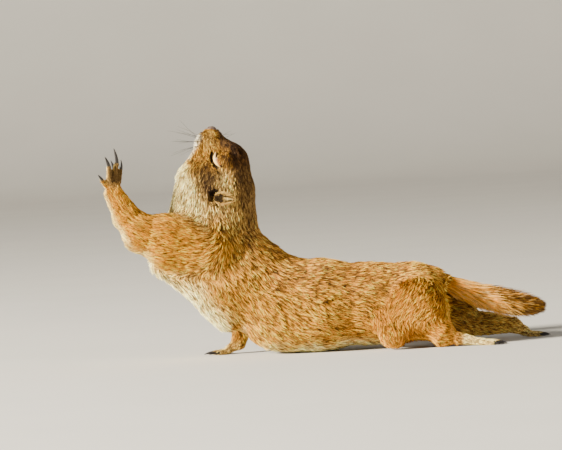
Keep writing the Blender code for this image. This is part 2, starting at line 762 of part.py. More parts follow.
def floor_block():
    """The floor, as a cutter that levels what rests on it."""
    return beyond((0.0, 0.0, FLOOR), (0.0, 0.0, -1.0), (30.0, 90.0, 250.0))


def tail_place(share):
    """Points down the middle of the tail, which sags and then levels out."""
    t = np.asarray(share, float)[..., None]
    ends = np.array(TAIL_ROOT) * (1 - t) ** 3 + np.array(TAIL_TIP) * t**3
    middle = np.array(TAIL_SAG[0]) * 3 * t * (1 - t) ** 2 + np.array(TAIL_SAG[1]) * 3 * t**2 * (1 - t)
    return ends + middle


def brush_width(share):
    """Half the brush's width at a share of the tail, out to the tips of its hair."""
    return BRUSH_WIDTH * np.sin(math.pi * (0.2 + 0.79 * np.clip(share, 0, 1)) ** 2.1) ** 0.7


def core_width(share):
    """Half the width of the tail's solid core, under the locks."""
    return np.minimum(0.47 * brush_width(share) + 3.0 * (1 - share) ** 4, 5.6)


def tail_lock(tier, turn, reach, random):
    """One flat tapered lock that leaves the core, bends and lies back along the tail.

    Tier is the share of the tail where it roots, turn its place round the tail, and
    reach how much of the tail it runs over. Its tip ends on the brush's outline, and
    where that would lie past the tail's end it stays on the blunt end of the brush.
    """
    steps = np.array([0.0, 0.34, 0.76, 1.0])
    end = tier + reach
    if end > BRUSH_END:
        end = random.uniform(BRUSH_END, 1.0)
    shares = tier + (end - tier) * steps
    root = 0.35 * core_width(tier)
    tip = brush_width(end) * random.uniform(0.92, 1.0)
    radius = root + (tip - root) * np.array([0.0, 0.6, 0.92, 1.0])
    swing = turn + LOCK_SWING * random.uniform(-1, 1) * steps
    out = np.stack([0 * swing, np.cos(swing), np.sin(swing)], 1)
    around = np.stack([0 * swing, -np.sin(swing), np.cos(swing)], 1)
    middle = tail_place(shares) + out * radius[:, None]
    wide = around * LOCK_WIDTH * random.uniform(0.85, 1.15) * np.array([0.6, 1.0, 0.75, 0.0])[:, None]
    ridge = out * LOCK_DEPTH * np.array([1.0, 0.8, 0.6, 0.0])[:, None]
    rings = np.stack([middle + wide - ridge / 2, middle + ridge, middle - wide - ridge / 2], 1)[:3]
    points = np.concatenate([rings.reshape(-1, 3), [middle[0]], [middle[-1]]])
    return new_object("lock", points, tube_faces(3, 3))


def bushy_tail():
    """The tail: a slim core with a brush of overlapping locks fused into it."""
    shares = np.linspace(0.0, 0.9, 9)
    path = tail_place(shares)
    tail = tube("tail", path, core_width(shares), (0, 0, 1), 8, path[0] - (0.05, 0, 0), tail_place(0.93))
    random = np.random.default_rng(SEED)
    locks = bpy.data.collections.new("locks")
    for number, tier in enumerate(LOCK_TIERS):
        for place in range(LOCKS_ROUND):
            turn = 2 * math.pi * (place + 0.5 * (number % 2) + random.uniform(-0.12, 0.12)) / LOCKS_ROUND
            reach = LOCK_REACH * random.uniform(0.85, 1.1)
            locks.objects.link(tail_lock(tier, turn, reach, random))
    modifier = tail.modifiers.new("fuse", "BOOLEAN")
    modifier.operand_type = "COLLECTION"
    modifier.collection = locks
    modifier.operation = "UNION"
    modifier.solver = "EXACT"
    mended(largest_body(settle(tail)))
    discard(*locks.objects)
    bpy.data.collections.remove(locks)
    return tail


def painted(obj, colour, roughness=MATT):
    """Gives an object its one material."""
    material = bpy.data.materials.new("finish_" + obj.name)
    material.use_nodes = True
    surface = material.node_tree.nodes["Principled BSDF"]
    surface.inputs["Base Color"].default_value = (*colour, 1.0)
    surface.inputs["Roughness"].default_value = roughness
    obj.data.materials.clear()
    obj.data.materials.append(material)
    return obj


def left_arm_shape(grow):
    """What parts the raised arm from the shoulder."""
    return capsule((-126.0, -33.0, 98.0), (-196.0, -32.0, 150.0), 29.0, 40.0, grow)


def build_body():
    """Trunk, neck and limbs, parted from one surface."""
    clay = Clay((-204, -66, -6), (172, 66, 160), CELL_BODY)
    knead(clay)
    body = cut(flesh("torso_rear", clay, BODY_FACES), floor_block())
    arm = parted(body, "upper_arm_left", left_arm_shape)
    cut(body, beyond(np.array(HEAD_CUT) - np.array(HEAD_AXES[0]) * GAP / 2, HEAD_AXES[0]))
    forearm = parted(arm, "forearm_left", plane((-161.0, -31.0, 110.0), (-0.62, 0.0, 0.78)))
    cut(forearm, beyond(np.array(LEFT_HAND_CUT) - LEFT_HAND_WAY * GAP / 2, LEFT_HAND_WAY, (40.0, 40.0, 40.0)))

    leg = parted(body, "upper_arm_right", lambda grow: capsule(
        (-86.0, 40.0, 44.0), (-84.0, 34.0, -20.0), 20.0, 20.0, grow))
    foreleg = parted(leg, "forearm_right", plane((-80.0, 33.0, 27.0), (-0.15, 0.0, -0.98)))
    cut(foreleg, beyond(np.array(RIGHT_HAND_CUT) - RIGHT_HAND_WAY * GAP / 2, RIGHT_HAND_WAY, (40.0, 40.0, 40.0)))

    thigh_left = parted(body, "thigh_left", lambda grow: ball(
        "haunch", (70.0, -42.0, 22.0), (44.0 + grow, 30.0 + grow, 35.0 + grow)))
    cut(thigh_left, beyond((LEFT_ANKLE[0] - GAP / 2, *LEFT_ANKLE[1:]), (1.0, 0.0, 0.0), (60.0, 30.0, 60.0)))
    thigh_right = parted(body, "thigh_right", lambda grow: ball(
        "haunch", (98.0, 44.0, 20.0), (64.0 + grow, 32.0 + grow, 35.0 + grow)))
    shank_right = parted(thigh_right, "shank_right", plane((112.0, 39.0, 15.0), (1.0, 0.0, -0.1)))
    cut(shank_right, beyond((RIGHT_ANKLE[0] - 2 - GAP / 2, *RIGHT_ANKLE[1:]), (1.0, 0.0, 0.0)))

    neck = parted(body, "neck", plane((-101.0, 0.0, 103.0), (-0.2, 0.0, 0.98)))
    chest = parted(body, "torso_front", plane((-45.0, 0.0, 46.0), (-0.86, 0.0, 0.52), (110.0, 90.0, 150.0)))
    tail_way = unit(np.array(TAIL_SAG[0]) - np.array(TAIL_ROOT))
    cut(body, beyond(np.array(TAIL_ROOT) - tail_way * GAP, tail_way, (30.0, 30.0, 30.0)))
    pale = [painted(obj, FUR_PALE) for obj in (forearm, foreleg)]
    return pale + [painted(obj, FUR) for obj in (body, chest, neck, arm, leg, thigh_left, thigh_right, shank_right)]


def build_head():
    """Head, ears, eyes and nose."""
    face = Face()
    head = flesh("head", face.clay, HEAD_FACES)
    back = -np.array(HEAD_AXES[0])
    cut(head, left_arm_shape(GAP / 2), beyond(np.array(HEAD_CUT) - back * GAP / 2, back))
    cut(head, nose_pad("socket", GAP))
    nose = cut(nose_pad("nose"), nostril(-1), nostril(1))
    nodes = [painted(head, FUR), painted(nose, SKIN_DARK, 0.5)]
    for side, label in ((-1, "left"), (1, "right")):
        cut(head, face.ear(side, "socket", GAP), face.eye(side, "socket", GAP))
        nodes.append(painted(face.ear(side, f"ear_{label}"), FUR_PALE))
        nodes.append(painted(face.eye(side, f"eye_{label}"), EYE_BLACK, GLOSSY))
    return nodes


def build_paws():
    """Both hands and both feet, with their claws."""
    right_start, left_foot, right_foot = (-88.0, 32.0, 6.0), (98.0, -41.0, 5.6), (151.5, 35.0, 9.4)
    hand_spread, foot_spread = (-36, -17, 0, 17, 34), (-22, -10, 0, 10, 22)
    paws = (
        Paw("hand_left", raised_hand(), LEFT_FOREARM, LEFT_WRIST, LEFT_ARM_RADII[3:], 4.6,
            LEFT_HAND_CUT, tuple(LEFT_HAND_WAY)),
        Paw("hand_right", planted_paw("hand_right", right_start, 0.0, (9.0, 9.5), hand_spread, 9.0, 9.0),
            RIGHT_ELBOW, RIGHT_WRIST, RIGHT_ARM_RADII[1:], 4.2, RIGHT_HAND_CUT, tuple(RIGHT_HAND_WAY)),
        Paw("foot_left", planted_paw("foot_left", left_foot, 184.0, (22.0, 12.0), foot_spread, 8.0, 10.0),
            LEFT_SHANK, LEFT_ANKLE, LEFT_LEG_RADII[1:], 4.0, LEFT_ANKLE, (1.0, 0.0, 0.0)),
        Paw("foot_right", planted_paw("foot_right", right_foot, 178.0, (12.0, 9.5), foot_spread, 8.0, 10.0),
            RIGHT_KNEE, RIGHT_ANKLE, RIGHT_LEG_RADII[1:], 5.0,
            (RIGHT_ANKLE[0] - 2, *RIGHT_ANKLE[1:]), (1.0, 0.0, 0.0)),
    )
    nodes = []
    for paw in paws:
        nodes.append(painted(paw.build(), FUR_PALE))
        nodes += [painted(digit.claw(), HORN, GLOSSY) for digit in paw.digits]
    return nodes


def stand_on_origin(nodes):
    """Moves all so that the box round them stands on the origin."""
    corners = np.array([vertex.co for obj in nodes for vertex in obj.data.vertices])
    low, high = corners.min(0), corners.max(0)
    middle = Vector(((low[0] + high[0]) / 2, (low[1] + high[1]) / 2, low[2]))
    for obj in nodes:
        obj.data.transform(Matrix.Translation(-middle))


HEAD_CUT = on_head(-27.0, 0.0)
LEFT_HAND_WAY = unit(np.array(LEFT_WRIST) - np.array(LEFT_FOREARM))
LEFT_HAND_CUT = tuple(np.array(LEFT_WRIST) - LEFT_HAND_WAY * 4.0)
RIGHT_HAND_WAY = unit(np.array(RIGHT_WRIST) - np.array(RIGHT_ELBOW))
RIGHT_HAND_WAY[1] = 0.0
RIGHT_HAND_CUT = tuple(np.array(RIGHT_WRIST) - RIGHT_HAND_WAY * 3.0)

for leftover in list(bpy.data.objects):
    bpy.data.objects.remove(leftover)
stand_on_origin(build_body() + build_head() + [painted(bushy_tail(), FUR_TAIL)] + build_paws())
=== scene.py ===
"""Looks of a life-size prairie dog that lies stretched on its belly, head thrown back.

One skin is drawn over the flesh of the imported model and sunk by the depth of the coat.
Tufts of hair grow from it, each a slim closed spindle that leans along the lie of the
coat. Eyes, lids, nose, ears, claws, whiskers and the brush of the tail are pieces of
their own. Places and lengths are in millimetres until a mesh is made.
"""

import logging
import math
from dataclasses import dataclass
from enum import Enum

import bpy
import numpy as np
from mathutils import Matrix
from mathutils.bvhtree import BVHTree


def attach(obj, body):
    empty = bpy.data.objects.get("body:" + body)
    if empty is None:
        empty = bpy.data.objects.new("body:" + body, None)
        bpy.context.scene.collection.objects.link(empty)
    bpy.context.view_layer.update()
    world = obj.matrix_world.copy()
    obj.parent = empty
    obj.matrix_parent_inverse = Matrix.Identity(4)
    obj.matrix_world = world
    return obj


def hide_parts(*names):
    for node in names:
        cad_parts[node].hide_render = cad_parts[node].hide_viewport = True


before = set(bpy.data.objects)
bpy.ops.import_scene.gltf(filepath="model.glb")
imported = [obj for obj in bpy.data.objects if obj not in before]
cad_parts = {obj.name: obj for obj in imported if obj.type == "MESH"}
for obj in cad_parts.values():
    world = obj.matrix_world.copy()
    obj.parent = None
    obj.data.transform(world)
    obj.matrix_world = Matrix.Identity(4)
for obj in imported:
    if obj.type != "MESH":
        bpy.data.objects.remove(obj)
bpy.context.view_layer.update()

LOG = logging.getLogger("prairie_dog")
MM = 0.001
SEED = 23
BAKE_MAP = "OFBake"
PELT = "pelt"

Colour = tuple[float, float, float]


def place(x: float, y: float, z: float) -> np.ndarray:
    """The place on the standing model of a place in the frame the solids were drawn in."""
    return np.array([x + 7.01, y, z + 1.0])


# The spine and the limbs, as (along X, towards +Y, up Z).
PELVIS, LOIN, WAIST = place(62, 0, 39.8), place(27, 0, 37.2), place(-15, 0, 38.5)
RIBS, CHEST, WITHERS = place(-47, 0, 43.2), place(-82, 0, 66.5), place(-99, 0, 94)
NECK, NAPE, SKULL = place(-98.5, 0, 118), place(-97, 0, 138), place(-91.8, 0, 150.9)
BREAST = (place(-141.5, 0, 83.5), place(-112, 0, 53), place(-96, 0, 34))
HEAD_TILT = math.radians(6.5)
NOSE_PLACE = (40.8, -2.2)
HEAD_AXES = np.array([
    [-math.sin(HEAD_TILT), 0.0, math.cos(HEAD_TILT)],
    [math.cos(HEAD_TILT), 0.0, math.sin(HEAD_TILT)],
    [0.0, 1.0, 0.0],
])
LEFT_ARM = tuple(place(*p) for p in (
    (-108, -20, 94), (-139.5, -27, 101.5), (-160.5, -31, 108.5), (-172.8, -32, 122.5), (-183, -32, 143)))
LEFT_FINGERS = place(-182, -32, 166)
RIGHT_ARM = tuple(place(*p) for p in ((-92, 24, 66), (-80, 33, 31), (-86, 32, 8.5)))
RIGHT_FINGERS = place(-106, 32, 2)
LEFT_LEG = tuple(place(*p) for p in ((66, -25, 33), (46, -38, 15), (86, -38, 10.5), (96, -41, 6.5)))
LEFT_TOES = place(132, -44, 2)
RIGHT_LEG = tuple(place(*p) for p in ((70, 25, 33), (100, 39, 15.5), (149, 35, 10)))
RIGHT_TOES = place(175, 36, 2)
TAIL_ROOT, TAIL_TIP = place(93, 0, 51.5), place(178, -4, 25.5)
TAIL_SAG = (place(112, -1, 40.5), place(138, -3, 31))


def on_head(forward: float, over: float, side: float = 0.0) -> np.ndarray:
    """A place on the head: forward to the nose, over towards the crown, and sideways."""
    return SKULL + np.array([forward, over, side]) @ HEAD_AXES


def unit(vectors: np.ndarray) -> np.ndarray:
    """The vectors at length one, along their last axis."""
    return vectors / np.maximum(np.linalg.norm(vectors, axis=-1, keepdims=True), 1e-9)


def dot(a: np.ndarray, b: np.ndarray) -> np.ndarray:
    """Row by row dot products."""
    return (a * b).sum(-1)


def ramp(values: np.ndarray, low: float, high: float) -> np.ndarray:
    """Rises smoothly from 0 at low to 1 at high, or falls where low is the larger."""
    share = np.clip((values - low) / (high - low), 0.0, 1.0)
    return share * share * (3 - 2 * share)


def ripple(points: np.ndarray, size: float, seed: int) -> np.ndarray:
    """Smooth noise of about unit spread: the sum of twelve sine waves of random heading.

    Args:
        points: Places, as rows.
        size: The waves' mean length, in millimetres.
        seed: Picks the waves.
    Returns:
        One number for each place.
    """
    random = np.random.default_rng(seed)
    heading = unit(random.normal(size=(12, 3)))
    pace = 2 * math.pi / (size * random.uniform(0.7, 1.4, 12))
    waves = np.sin(points @ (heading * pace[:, None]).T + random.uniform(0, 2 * math.pi, 12))
    return waves.sum(1) * math.sqrt(2 / 12)


def path_distance(points: np.ndarray, path: np.ndarray) -> np.ndarray:
    """How far each place lies from a path of straight runs.

    Args:
        points: Places, as rows.
        path: The path's corners, as rows.
    Returns:
        The distance of each place from the nearest run.
    """
    best = np.full(len(points), np.inf)
    for start, end in zip(path, path[1:]):
        run = end - start
        share = np.clip(((points - start) @ run) / (run @ run), 0, 1)
        best = np.minimum(best, np.linalg.norm(points - start - share[:, None] * run, axis=1))
    return best


def linear(red: float, green: float, blue: float) -> Colour:
    """A screen colour of 0 to 255 as the linear numbers a shader takes."""
    shares = np.array([red, green, blue]) / 255
    return tuple(np.where(shares <= 0.04045, shares / 12.92, ((shares + 0.055) / 1.055) ** 2.4))


def blended(base: np.ndarray, colour: Colour, share: np.ndarray) -> np.ndarray:
    """Rows of colour, each moved towards one colour by its share."""
    return base + (np.array(colour) - base) * share[:, None]


class Shade(Enum):
    """The colours of the coat and of the bare parts."""

    GOLD = linear(214, 147, 48)
    BACK = linear(203, 134, 50)
    TAN = linear(236, 184, 100)
    ORANGE = linear(213, 139, 34)
    HONEY = linear(225, 150, 34)
    AMBER = linear(186, 116, 30)
    CREAM = linear(255, 222, 146)
    PALE = linear(252, 234, 196)
    UMBER = linear(84, 62, 42)
    BROWN = linear(62, 40, 24)
    BLACK = linear(22, 17, 15)
    PAD = linear(70, 55, 50)


def raise_mesh(name: str, points: np.ndarray, faces: np.ndarray, smooth: bool = True) -> bpy.types.Object:
    """Makes an object of triangles, turned inside out first if its volume is negative.

    Args:
        name: The object's name.
        points: Places in millimetres, as rows.
        faces: Three indices a row.
        smooth: Whether its faces shade as one round surface.
    Returns:
        The new object, at the origin.
    """
    corners = points[faces]
    if np.einsum("ij,ij->", corners[:, 0], np.cross(corners[:, 1], corners[:, 2])) < 0:
        faces = faces[:, ::-1]
    mesh = bpy.data.meshes.new(name)
    mesh.vertices.add(len(points))
    mesh.vertices.foreach_set("co", (points * MM).astype(np.float32).ravel())
    mesh.loops.add(faces.size)
    mesh.loops.foreach_set("vertex_index", np.ascontiguousarray(faces, np.int32).ravel())
    mesh.polygons.add(len(faces))
    mesh.polygons.foreach_set("loop_start", np.arange(0, faces.size, 3, dtype=np.int32))
    mesh.polygons.foreach_set("use_smooth", np.full(len(faces), smooth))
    mesh.update(calc_edges=True)
    obj = bpy.data.objects.new(name, mesh)
    bpy.context.scene.collection.objects.link(obj)
    return obj


def paint_points(obj: bpy.types.Object, colours: np.ndarray) -> None:
    """Keeps a colour for each vertex in the attribute that the coat's finish reads."""
    attribute = obj.data.attributes.new(PELT, "FLOAT_COLOR", "POINT")
    full = np.concatenate([np.clip(colours, 0.0, 1.0), np.ones((len(colours), 1))], 1)
    attribute.data.foreach_set("color", full.astype(np.float32).ravel())


def tube_faces(rings: int, sides: int) -> np.ndarray:
    """The triangles of a tube closed by a pole at each end.

    Args:
        rings: How many rings of points it has.
        sides: How many points a ring has.
    Returns:
        Triangles over the rings' points, ring by ring, then the first and the last pole.
    """
    ring, side = (part.ravel() for part in np.meshgrid(np.arange(rings - 1), np.arange(sides), indexing="ij"))
    a, b = ring * sides + side, ring * sides + (side + 1) % sides
    wall = np.concatenate([np.stack([a, b, b + sides], 1), np.stack([a, b + sides, a + sides], 1)])
    s = np.arange(sides)
    t, first, last = (s + 1) % sides, rings * sides, rings * sides + 1
    start = np.stack([np.full(sides, first), t, s], 1)
    end = np.stack([np.full(sides, last), last - 1 - sides + s, last - 1 - sides + t], 1)
    return np.concatenate([wall, start, end])


def swept(path: np.ndarray, wide: np.ndarray, deep: np.ndarray, up: np.ndarray, sides: int) -> np.ndarray:
    """Points of a tube: an ellipse carried along a path, its poles at the path's ends.

    A point is path + across * wide * cos(turn) + over * deep * sin(turn), where over is
    up made square to the path and across is square to both.

    Args:
        path: Places down the middle. The first and the last are the poles.
        wide: Half widths at the places between.
        deep: Half depths at the places between.
        up: Which way the tube's depth is measured.
        sides: Points round it.
    Returns:
        The points, in the order that tube_faces takes.
    """
    run = unit(np.gradient(path, axis=0))[1:-1]
    over = unit(up - dot(run, up)[:, None] * run)
    across = np.cross(run, over)
    turn = 2 * math.pi * np.arange(sides) / sides
    round_it = (across[:, None] * (wide[:, None] * np.cos(turn))[..., None]
                + over[:, None] * (deep[:, None] * np.sin(turn))[..., None])
    return np.concatenate([(path[1:-1, None] + round_it).reshape(-1, 3), path[:1], path[-1:]])


def joined(meshes: list[tuple[np.ndarray, np.ndarray]]) -> tuple[np.ndarray, np.ndarray]:
    """Several (points, triangles) as one."""
    starts = np.cumsum([0] + [len(points) for points, _ in meshes[:-1]])
    return (np.concatenate([points for points, _ in meshes]),
            np.concatenate([faces + start for (_, faces), start in zip(meshes, starts)]))


@dataclass
class Surface:
    """A surface of triangles, in millimetres."""

    points: np.ndarray
    faces: np.ndarray

    @classmethod
    def of(cls, obj: bpy.types.Object) -> "Surface":
        """The merged triangles of a mesh object."""
        mesh = obj.data
        mesh.calc_loop_triangles()
        points = np.empty(len(mesh.vertices) * 3, np.float32)
        mesh.vertices.foreach_get("co", points)
        faces = np.empty(len(mesh.loop_triangles) * 3, np.int32)
        mesh.loop_triangles.foreach_get("vertices", faces)
        kept, where = np.unique(np.round(points.reshape(-1, 3) / MM, 3), axis=0, return_inverse=True)
        faces = where.ravel()[faces.reshape(-1, 3)]
        whole = (faces[:, 0] != faces[:, 1]) & (faces[:, 1] != faces[:, 2]) & (faces[:, 2] != faces[:, 0])
        return cls(kept.astype(float), faces[whole])

    def face_normals(self) -> np.ndarray:
        """Each triangle's normal, twice its area long."""
        a, b, c = (self.points[self.faces[:, i]] for i in range(3))
        return np.cross(b - a, c - a)

    def normals(self) -> np.ndarray:
        """Each vertex's normal: the sum of its triangles', at length one."""
        flat, count = self.face_normals(), len(self.points)
        total = [sum(np.bincount(self.faces[:, k], flat[:, i], count) for k in range(3)) for i in range(3)]
        return unit(np.stack(total, 1))

    def edges(self) -> np.ndarray:
        """Each edge once, as two indices."""
        pairs = np.sort(np.concatenate([self.faces[:, [0, 1]], self.faces[:, [1, 2]], self.faces[:, [2, 0]]]), 1)
        return np.unique(pairs, axis=0)

    def smoothed(self, rounds: int, share: np.ndarray) -> "Surface":
        """Moves each vertex towards its neighbours' mean, then a little back again.

        Args:
            rounds: How many times.
            share: How much of the move each vertex makes, from 0 to 1.
        Returns:
            The smoother surface.
        """
        a, b = self.edges().T
        count, points = len(self.points), self.points.copy()
        degree = np.maximum(np.bincount(a, minlength=count) + np.bincount(b, minlength=count), 1)
        for step in np.tile([0.55, -0.52], rounds):
            mean = np.stack([
                np.bincount(a, points[b, i], count) + np.bincount(b, points[a, i], count) for i in range(3)
            ], 1) / degree[:, None]
            points += (mean - points) * (step * share)[:, None]
        return Surface(points, self.faces)

    def largest_part(self) -> "Surface":
        """Its connected part with the most vertices."""
        a, b = self.edges().T
        label = np.arange(len(self.points))
        while True:
            least = np.minimum(label[a], label[b])
            before = label.copy()
            np.minimum.at(label, a, least)
            np.minimum.at(label, b, least)
            label = label[label]
            if (label == before).all():
                break
        keep = label == np.bincount(label).argmax()
        number = np.cumsum(keep) - 1
        return Surface(self.points[keep], number[self.faces[keep[self.faces[:, 0]]]])

    def tree(self) -> BVHTree:
        """A search tree over its triangles."""
        return BVHTree.FromPolygons(self.points.tolist(), self.faces.tolist())

    def scatter(self, density: np.ndarray, random: np.random.Generator) -> tuple[np.ndarray, np.ndarray]:
        """Evenly spread places on it.

        Args:
            density: How many places a square millimetre of each triangle gets.
            random: Where in its triangle a place falls.
        Returns:
            The places and the surface's normals there.
        """
        load = np.cumsum(np.linalg.norm(self.face_normals(), axis=1) / 2 * density)
        count = int(load[-1])
        pick = np.searchsorted(load, (np.arange(count) + random.random(count)) * load[-1] / count)
        u, v = random.random((2, count))
        over = u + v > 1
        u, v = np.where(over, 1 - u, u), np.where(over, 1 - v, v)
        weights = np.stack([1 - u - v, u, v], 1)[..., None]
        chosen = self.faces[np.minimum(pick, len(self.faces) - 1)]
        return (self.points[chosen] * weights).sum(1), unit((self.normals()[chosen] * weights).sum(1))


class Part(Enum):
    """The parts of the body that have a coat of their own, in the order of its pieces."""

    HEAD = "head"
    NECK = "neck"
    FRONT = "front"
    REAR = "rear"
    ARM_LEFT = "arm_left"
    ARM_RIGHT = "arm_right"
    LEG_LEFT = "leg_left"
    LEG_RIGHT = "leg_right"
    TAIL = "tail"


@dataclass(frozen=True)
class Run:
    """One length of the body: where it starts and ends, and the coat that it carries."""

    part: Part
    start: np.ndarray
    end: np.ndarray
    reach: float
    length: float
    width: float
    lean: float
    density: float
    depth: float


def chain(part: Part, places: tuple, rows: tuple) -> list[Run]:
    """Runs from place to place, each with its own row of reach, length, width, lean, density and depth."""
    return [Run(part, start, end, *row) for start, end, row in zip(places, places[1:], rows)]


RUNS = (
    chain(Part.HEAD, (on_head(47, -4), on_head(30, -3), on_head(12, -4), on_head(-8, -4), NAPE), (
        (10, 1.9, 0.42, 0.30, 4.6, 0.5),
        (17, 2.6, 0.50, 0.30, 4.0, 0.9),
        (23, 3.4, 0.58, 0.32, 3.2, 1.5),
        (27, 4.8, 0.68, 0.34, 2.4, 2.1),
    ))
    + chain(Part.HEAD, (on_head(34, -13), on_head(6, -22), on_head(-24, -30)), (
        (9, 3.2, 0.50, 0.35, 3.6, 0.9),
        (16, 6.4, 0.62, 0.36, 2.6, 2.2),
    ))
    + chain(Part.NECK, (NAPE, NECK, WITHERS), (
        (31, 6.0, 0.75, 0.34, 2.0, 2.7),
        (34, 6.8, 0.85, 0.34, 1.7, 3.0),
    ))
    + chain(Part.FRONT, (WITHERS, CHEST, RIBS, WAIST), (
        (38, 7.2, 0.90, 0.33, 1.6, 3.1),
        (40, 7.2, 0.90, 0.33, 1.6, 3.1),
        (40, 7.2, 0.90, 0.32, 1.6, 3.1),
    ))
    + chain(Part.FRONT, BREAST, (
        (16, 8.4, 0.85, 0.40, 1.8, 2.8),
        (16, 8.4, 0.85, 0.38, 1.8, 2.8),
    ))
    + chain(Part.REAR, (WAIST, LOIN, PELVIS, TAIL_ROOT), (
        (39, 7.2, 0.90, 0.32, 1.6, 3.1),
        (36, 7.2, 0.90, 0.32, 1.6, 3.1),
        (28, 7.6, 0.90, 0.32, 1.7, 2.8),
    ))
    + chain(Part.ARM_LEFT, (*LEFT_ARM, LEFT_FINGERS), (
        (26, 6.8, 0.85, 0.34, 1.7, 2.8),
        (21, 6.4, 0.80, 0.34, 1.9, 2.5),
        (15, 5.2, 0.70, 0.36, 2.3, 2.0),
        (10, 4.0, 0.58, 0.36, 3.0, 1.2),
        (7, 1.6, 0.36, 0.22, 5.0, 0.35),
    ))
    + chain(Part.ARM_RIGHT, (*RIGHT_ARM, RIGHT_FINGERS), (
        (17, 6.0, 0.80, 0.34, 1.9, 2.3),
        (9, 4.0, 0.60, 0.34, 2.6, 1.3),
        (7, 1.9, 0.42, 0.28, 4.2, 0.35),
    ))
    + chain(Part.LEG_LEFT, (*LEFT_LEG, LEFT_TOES), (
        (28, 7.2, 0.90, 0.32, 1.7, 2.8),
        (16, 5.6, 0.75, 0.32, 2.1, 2.1),
        (9, 3.2, 0.55, 0.30, 3.2, 0.9),
        (7, 2.0, 0.42, 0.28, 4.2, 0.35),
    ))
    + chain(Part.LEG_RIGHT, (*RIGHT_LEG, RIGHT_TOES), (
        (25, 7.2, 0.90, 0.32, 1.7, 2.6),
        (12, 5.2, 0.72, 0.32, 2.2, 1.7),
        (7, 2.2, 0.44, 0.28, 4.0, 0.4),
    ))
    + chain(Part.TAIL, (TAIL_ROOT, (TAIL_ROOT + TAIL_TIP) / 2 - (0, 0, 3), TAIL_TIP), (
        (9, 7.0, 0.70, 0.30, 1.6, 0.0),
        (8, 7.0, 0.70, 0.30, 1.2, 0.0),
    ))
)


class Lie:
    """What each place of the skin takes from the runs round it, blended by how near they are."""

    def __init__(self, points: np.ndarray):
        """Weighs the runs for each place by a bell curve of its distance over the run's reach.

        Args:
            points: Places on the skin, as rows.
        """
        weights = []
        for run in RUNS:
            span = run.end - run.start
            share = np.clip(((points - run.start) @ span) / (span @ span), 0, 1)
            far = np.linalg.norm(points - run.start - share[:, None] * span, axis=1) / run.reach
            weights.append(np.exp(-np.maximum(far - 0.75, 0) ** 2 * 9 - 0.5 * far**2))
        self.weights = np.stack(weights, 1) + 1e-9
        self.weights /= self.weights.sum(1, keepdims=True)

    def blend(self, trait: str) -> np.ndarray:
        """The blended value of one of the runs' sizes."""
        return self.weights @ np.array([getattr(run, trait) for run in RUNS])

    def share(self, *parts: Part) -> np.ndarray:
        """How much of each place belongs to some parts."""
        return self.weights @ np.array([float(run.part in parts) for run in RUNS])

    def fine(self) -> np.ndarray:
        """How much of each place belongs to the hands and feet, whose hair is the shortest."""
        short = np.array([run.depth < 0.45 for run in RUNS])
        return ramp(self.weights[:, short].sum(1), 0.25, 0.8)

    def part(self) -> np.ndarray:
        """The number of the part that each place belongs to most."""
        shares = np.stack([self.share(part) for part in Part], 1)
        return shares.argmax(1)

    def way(self, normals: np.ndarray) -> np.ndarray:
        """Which way the hair lies: along the runs, a little downwards on the trunk, on the skin."""
        heading = self.weights @ np.stack([unit(run.end - run.start) for run in RUNS])
        trunk = self.share(Part.FRONT, Part.REAR)
        heading[:, 2] -= 0.38 * trunk * (1 - np.abs(normals[:, 2]))
        return unit(heading - dot(heading, normals)[:, None] * normals)


@dataclass(frozen=True)
class Face:
    """Places on the face that the skin, the lids and the whiskers share, as (forward, over)."""

    mouth: tuple = ((41.6, -8.8), (38.8, -9.6), (36.0, -10.2), (31.5, -11.0), (27.5, -11.8), (23.0, -13.4))
    slit_front: tuple = (22.8, 0.2)
    slit_back: tuple = (9.7, 1.8)
    slit_bow: float = 2.3
    ear_base: tuple = (-14.8, -9.0)
    ear_tip: tuple = (-18.8, 7.5)
    ear_hole: tuple = (-10.6, -8.2)
    ear_hole_radii: tuple = (3.6, 4.5)

    def slit(self, shift: float, low: float = 0.0, high: float = 1.0, count: int = 13) -> np.ndarray:
        """The line between the lids, moved over by shift: straight plus a half sine wave."""
        share = np.linspace(low, high, count)
        forward = self.slit_front[0] + (self.slit_back[0] - self.slit_front[0]) * share
        over = self.slit_front[1] + (self.slit_back[1] - self.slit_front[1]) * share
        return np.stack([forward, over - self.slit_bow * np.sin(math.pi * share) + shift], 1)

    def on_skin(self, tree: BVHTree, line: np.ndarray, side: int, lift: float = 0.0) -> np.ndarray:
        """Puts a line of the side view on one side's skin.

        Args:
            tree: The skin's search tree.
            line: Rows of (forward, over).
            side: -1 for the left side, 1 for the right one.
            lift: How far outside the skin it lies.
        Returns:
            Places, as rows.
        """
        places = SKULL + line @ HEAD_AXES[:2]
        hits = [tree.ray_cast((x, 70.0 * side, z), (0, -side, 0), 70.0)[0] for x, _, z in places]
        out = np.array([hit[1] if hit else 8.0 * side for hit in hits])
        return np.stack([places[:, 0], out + lift * side, places[:, 2]], 1)


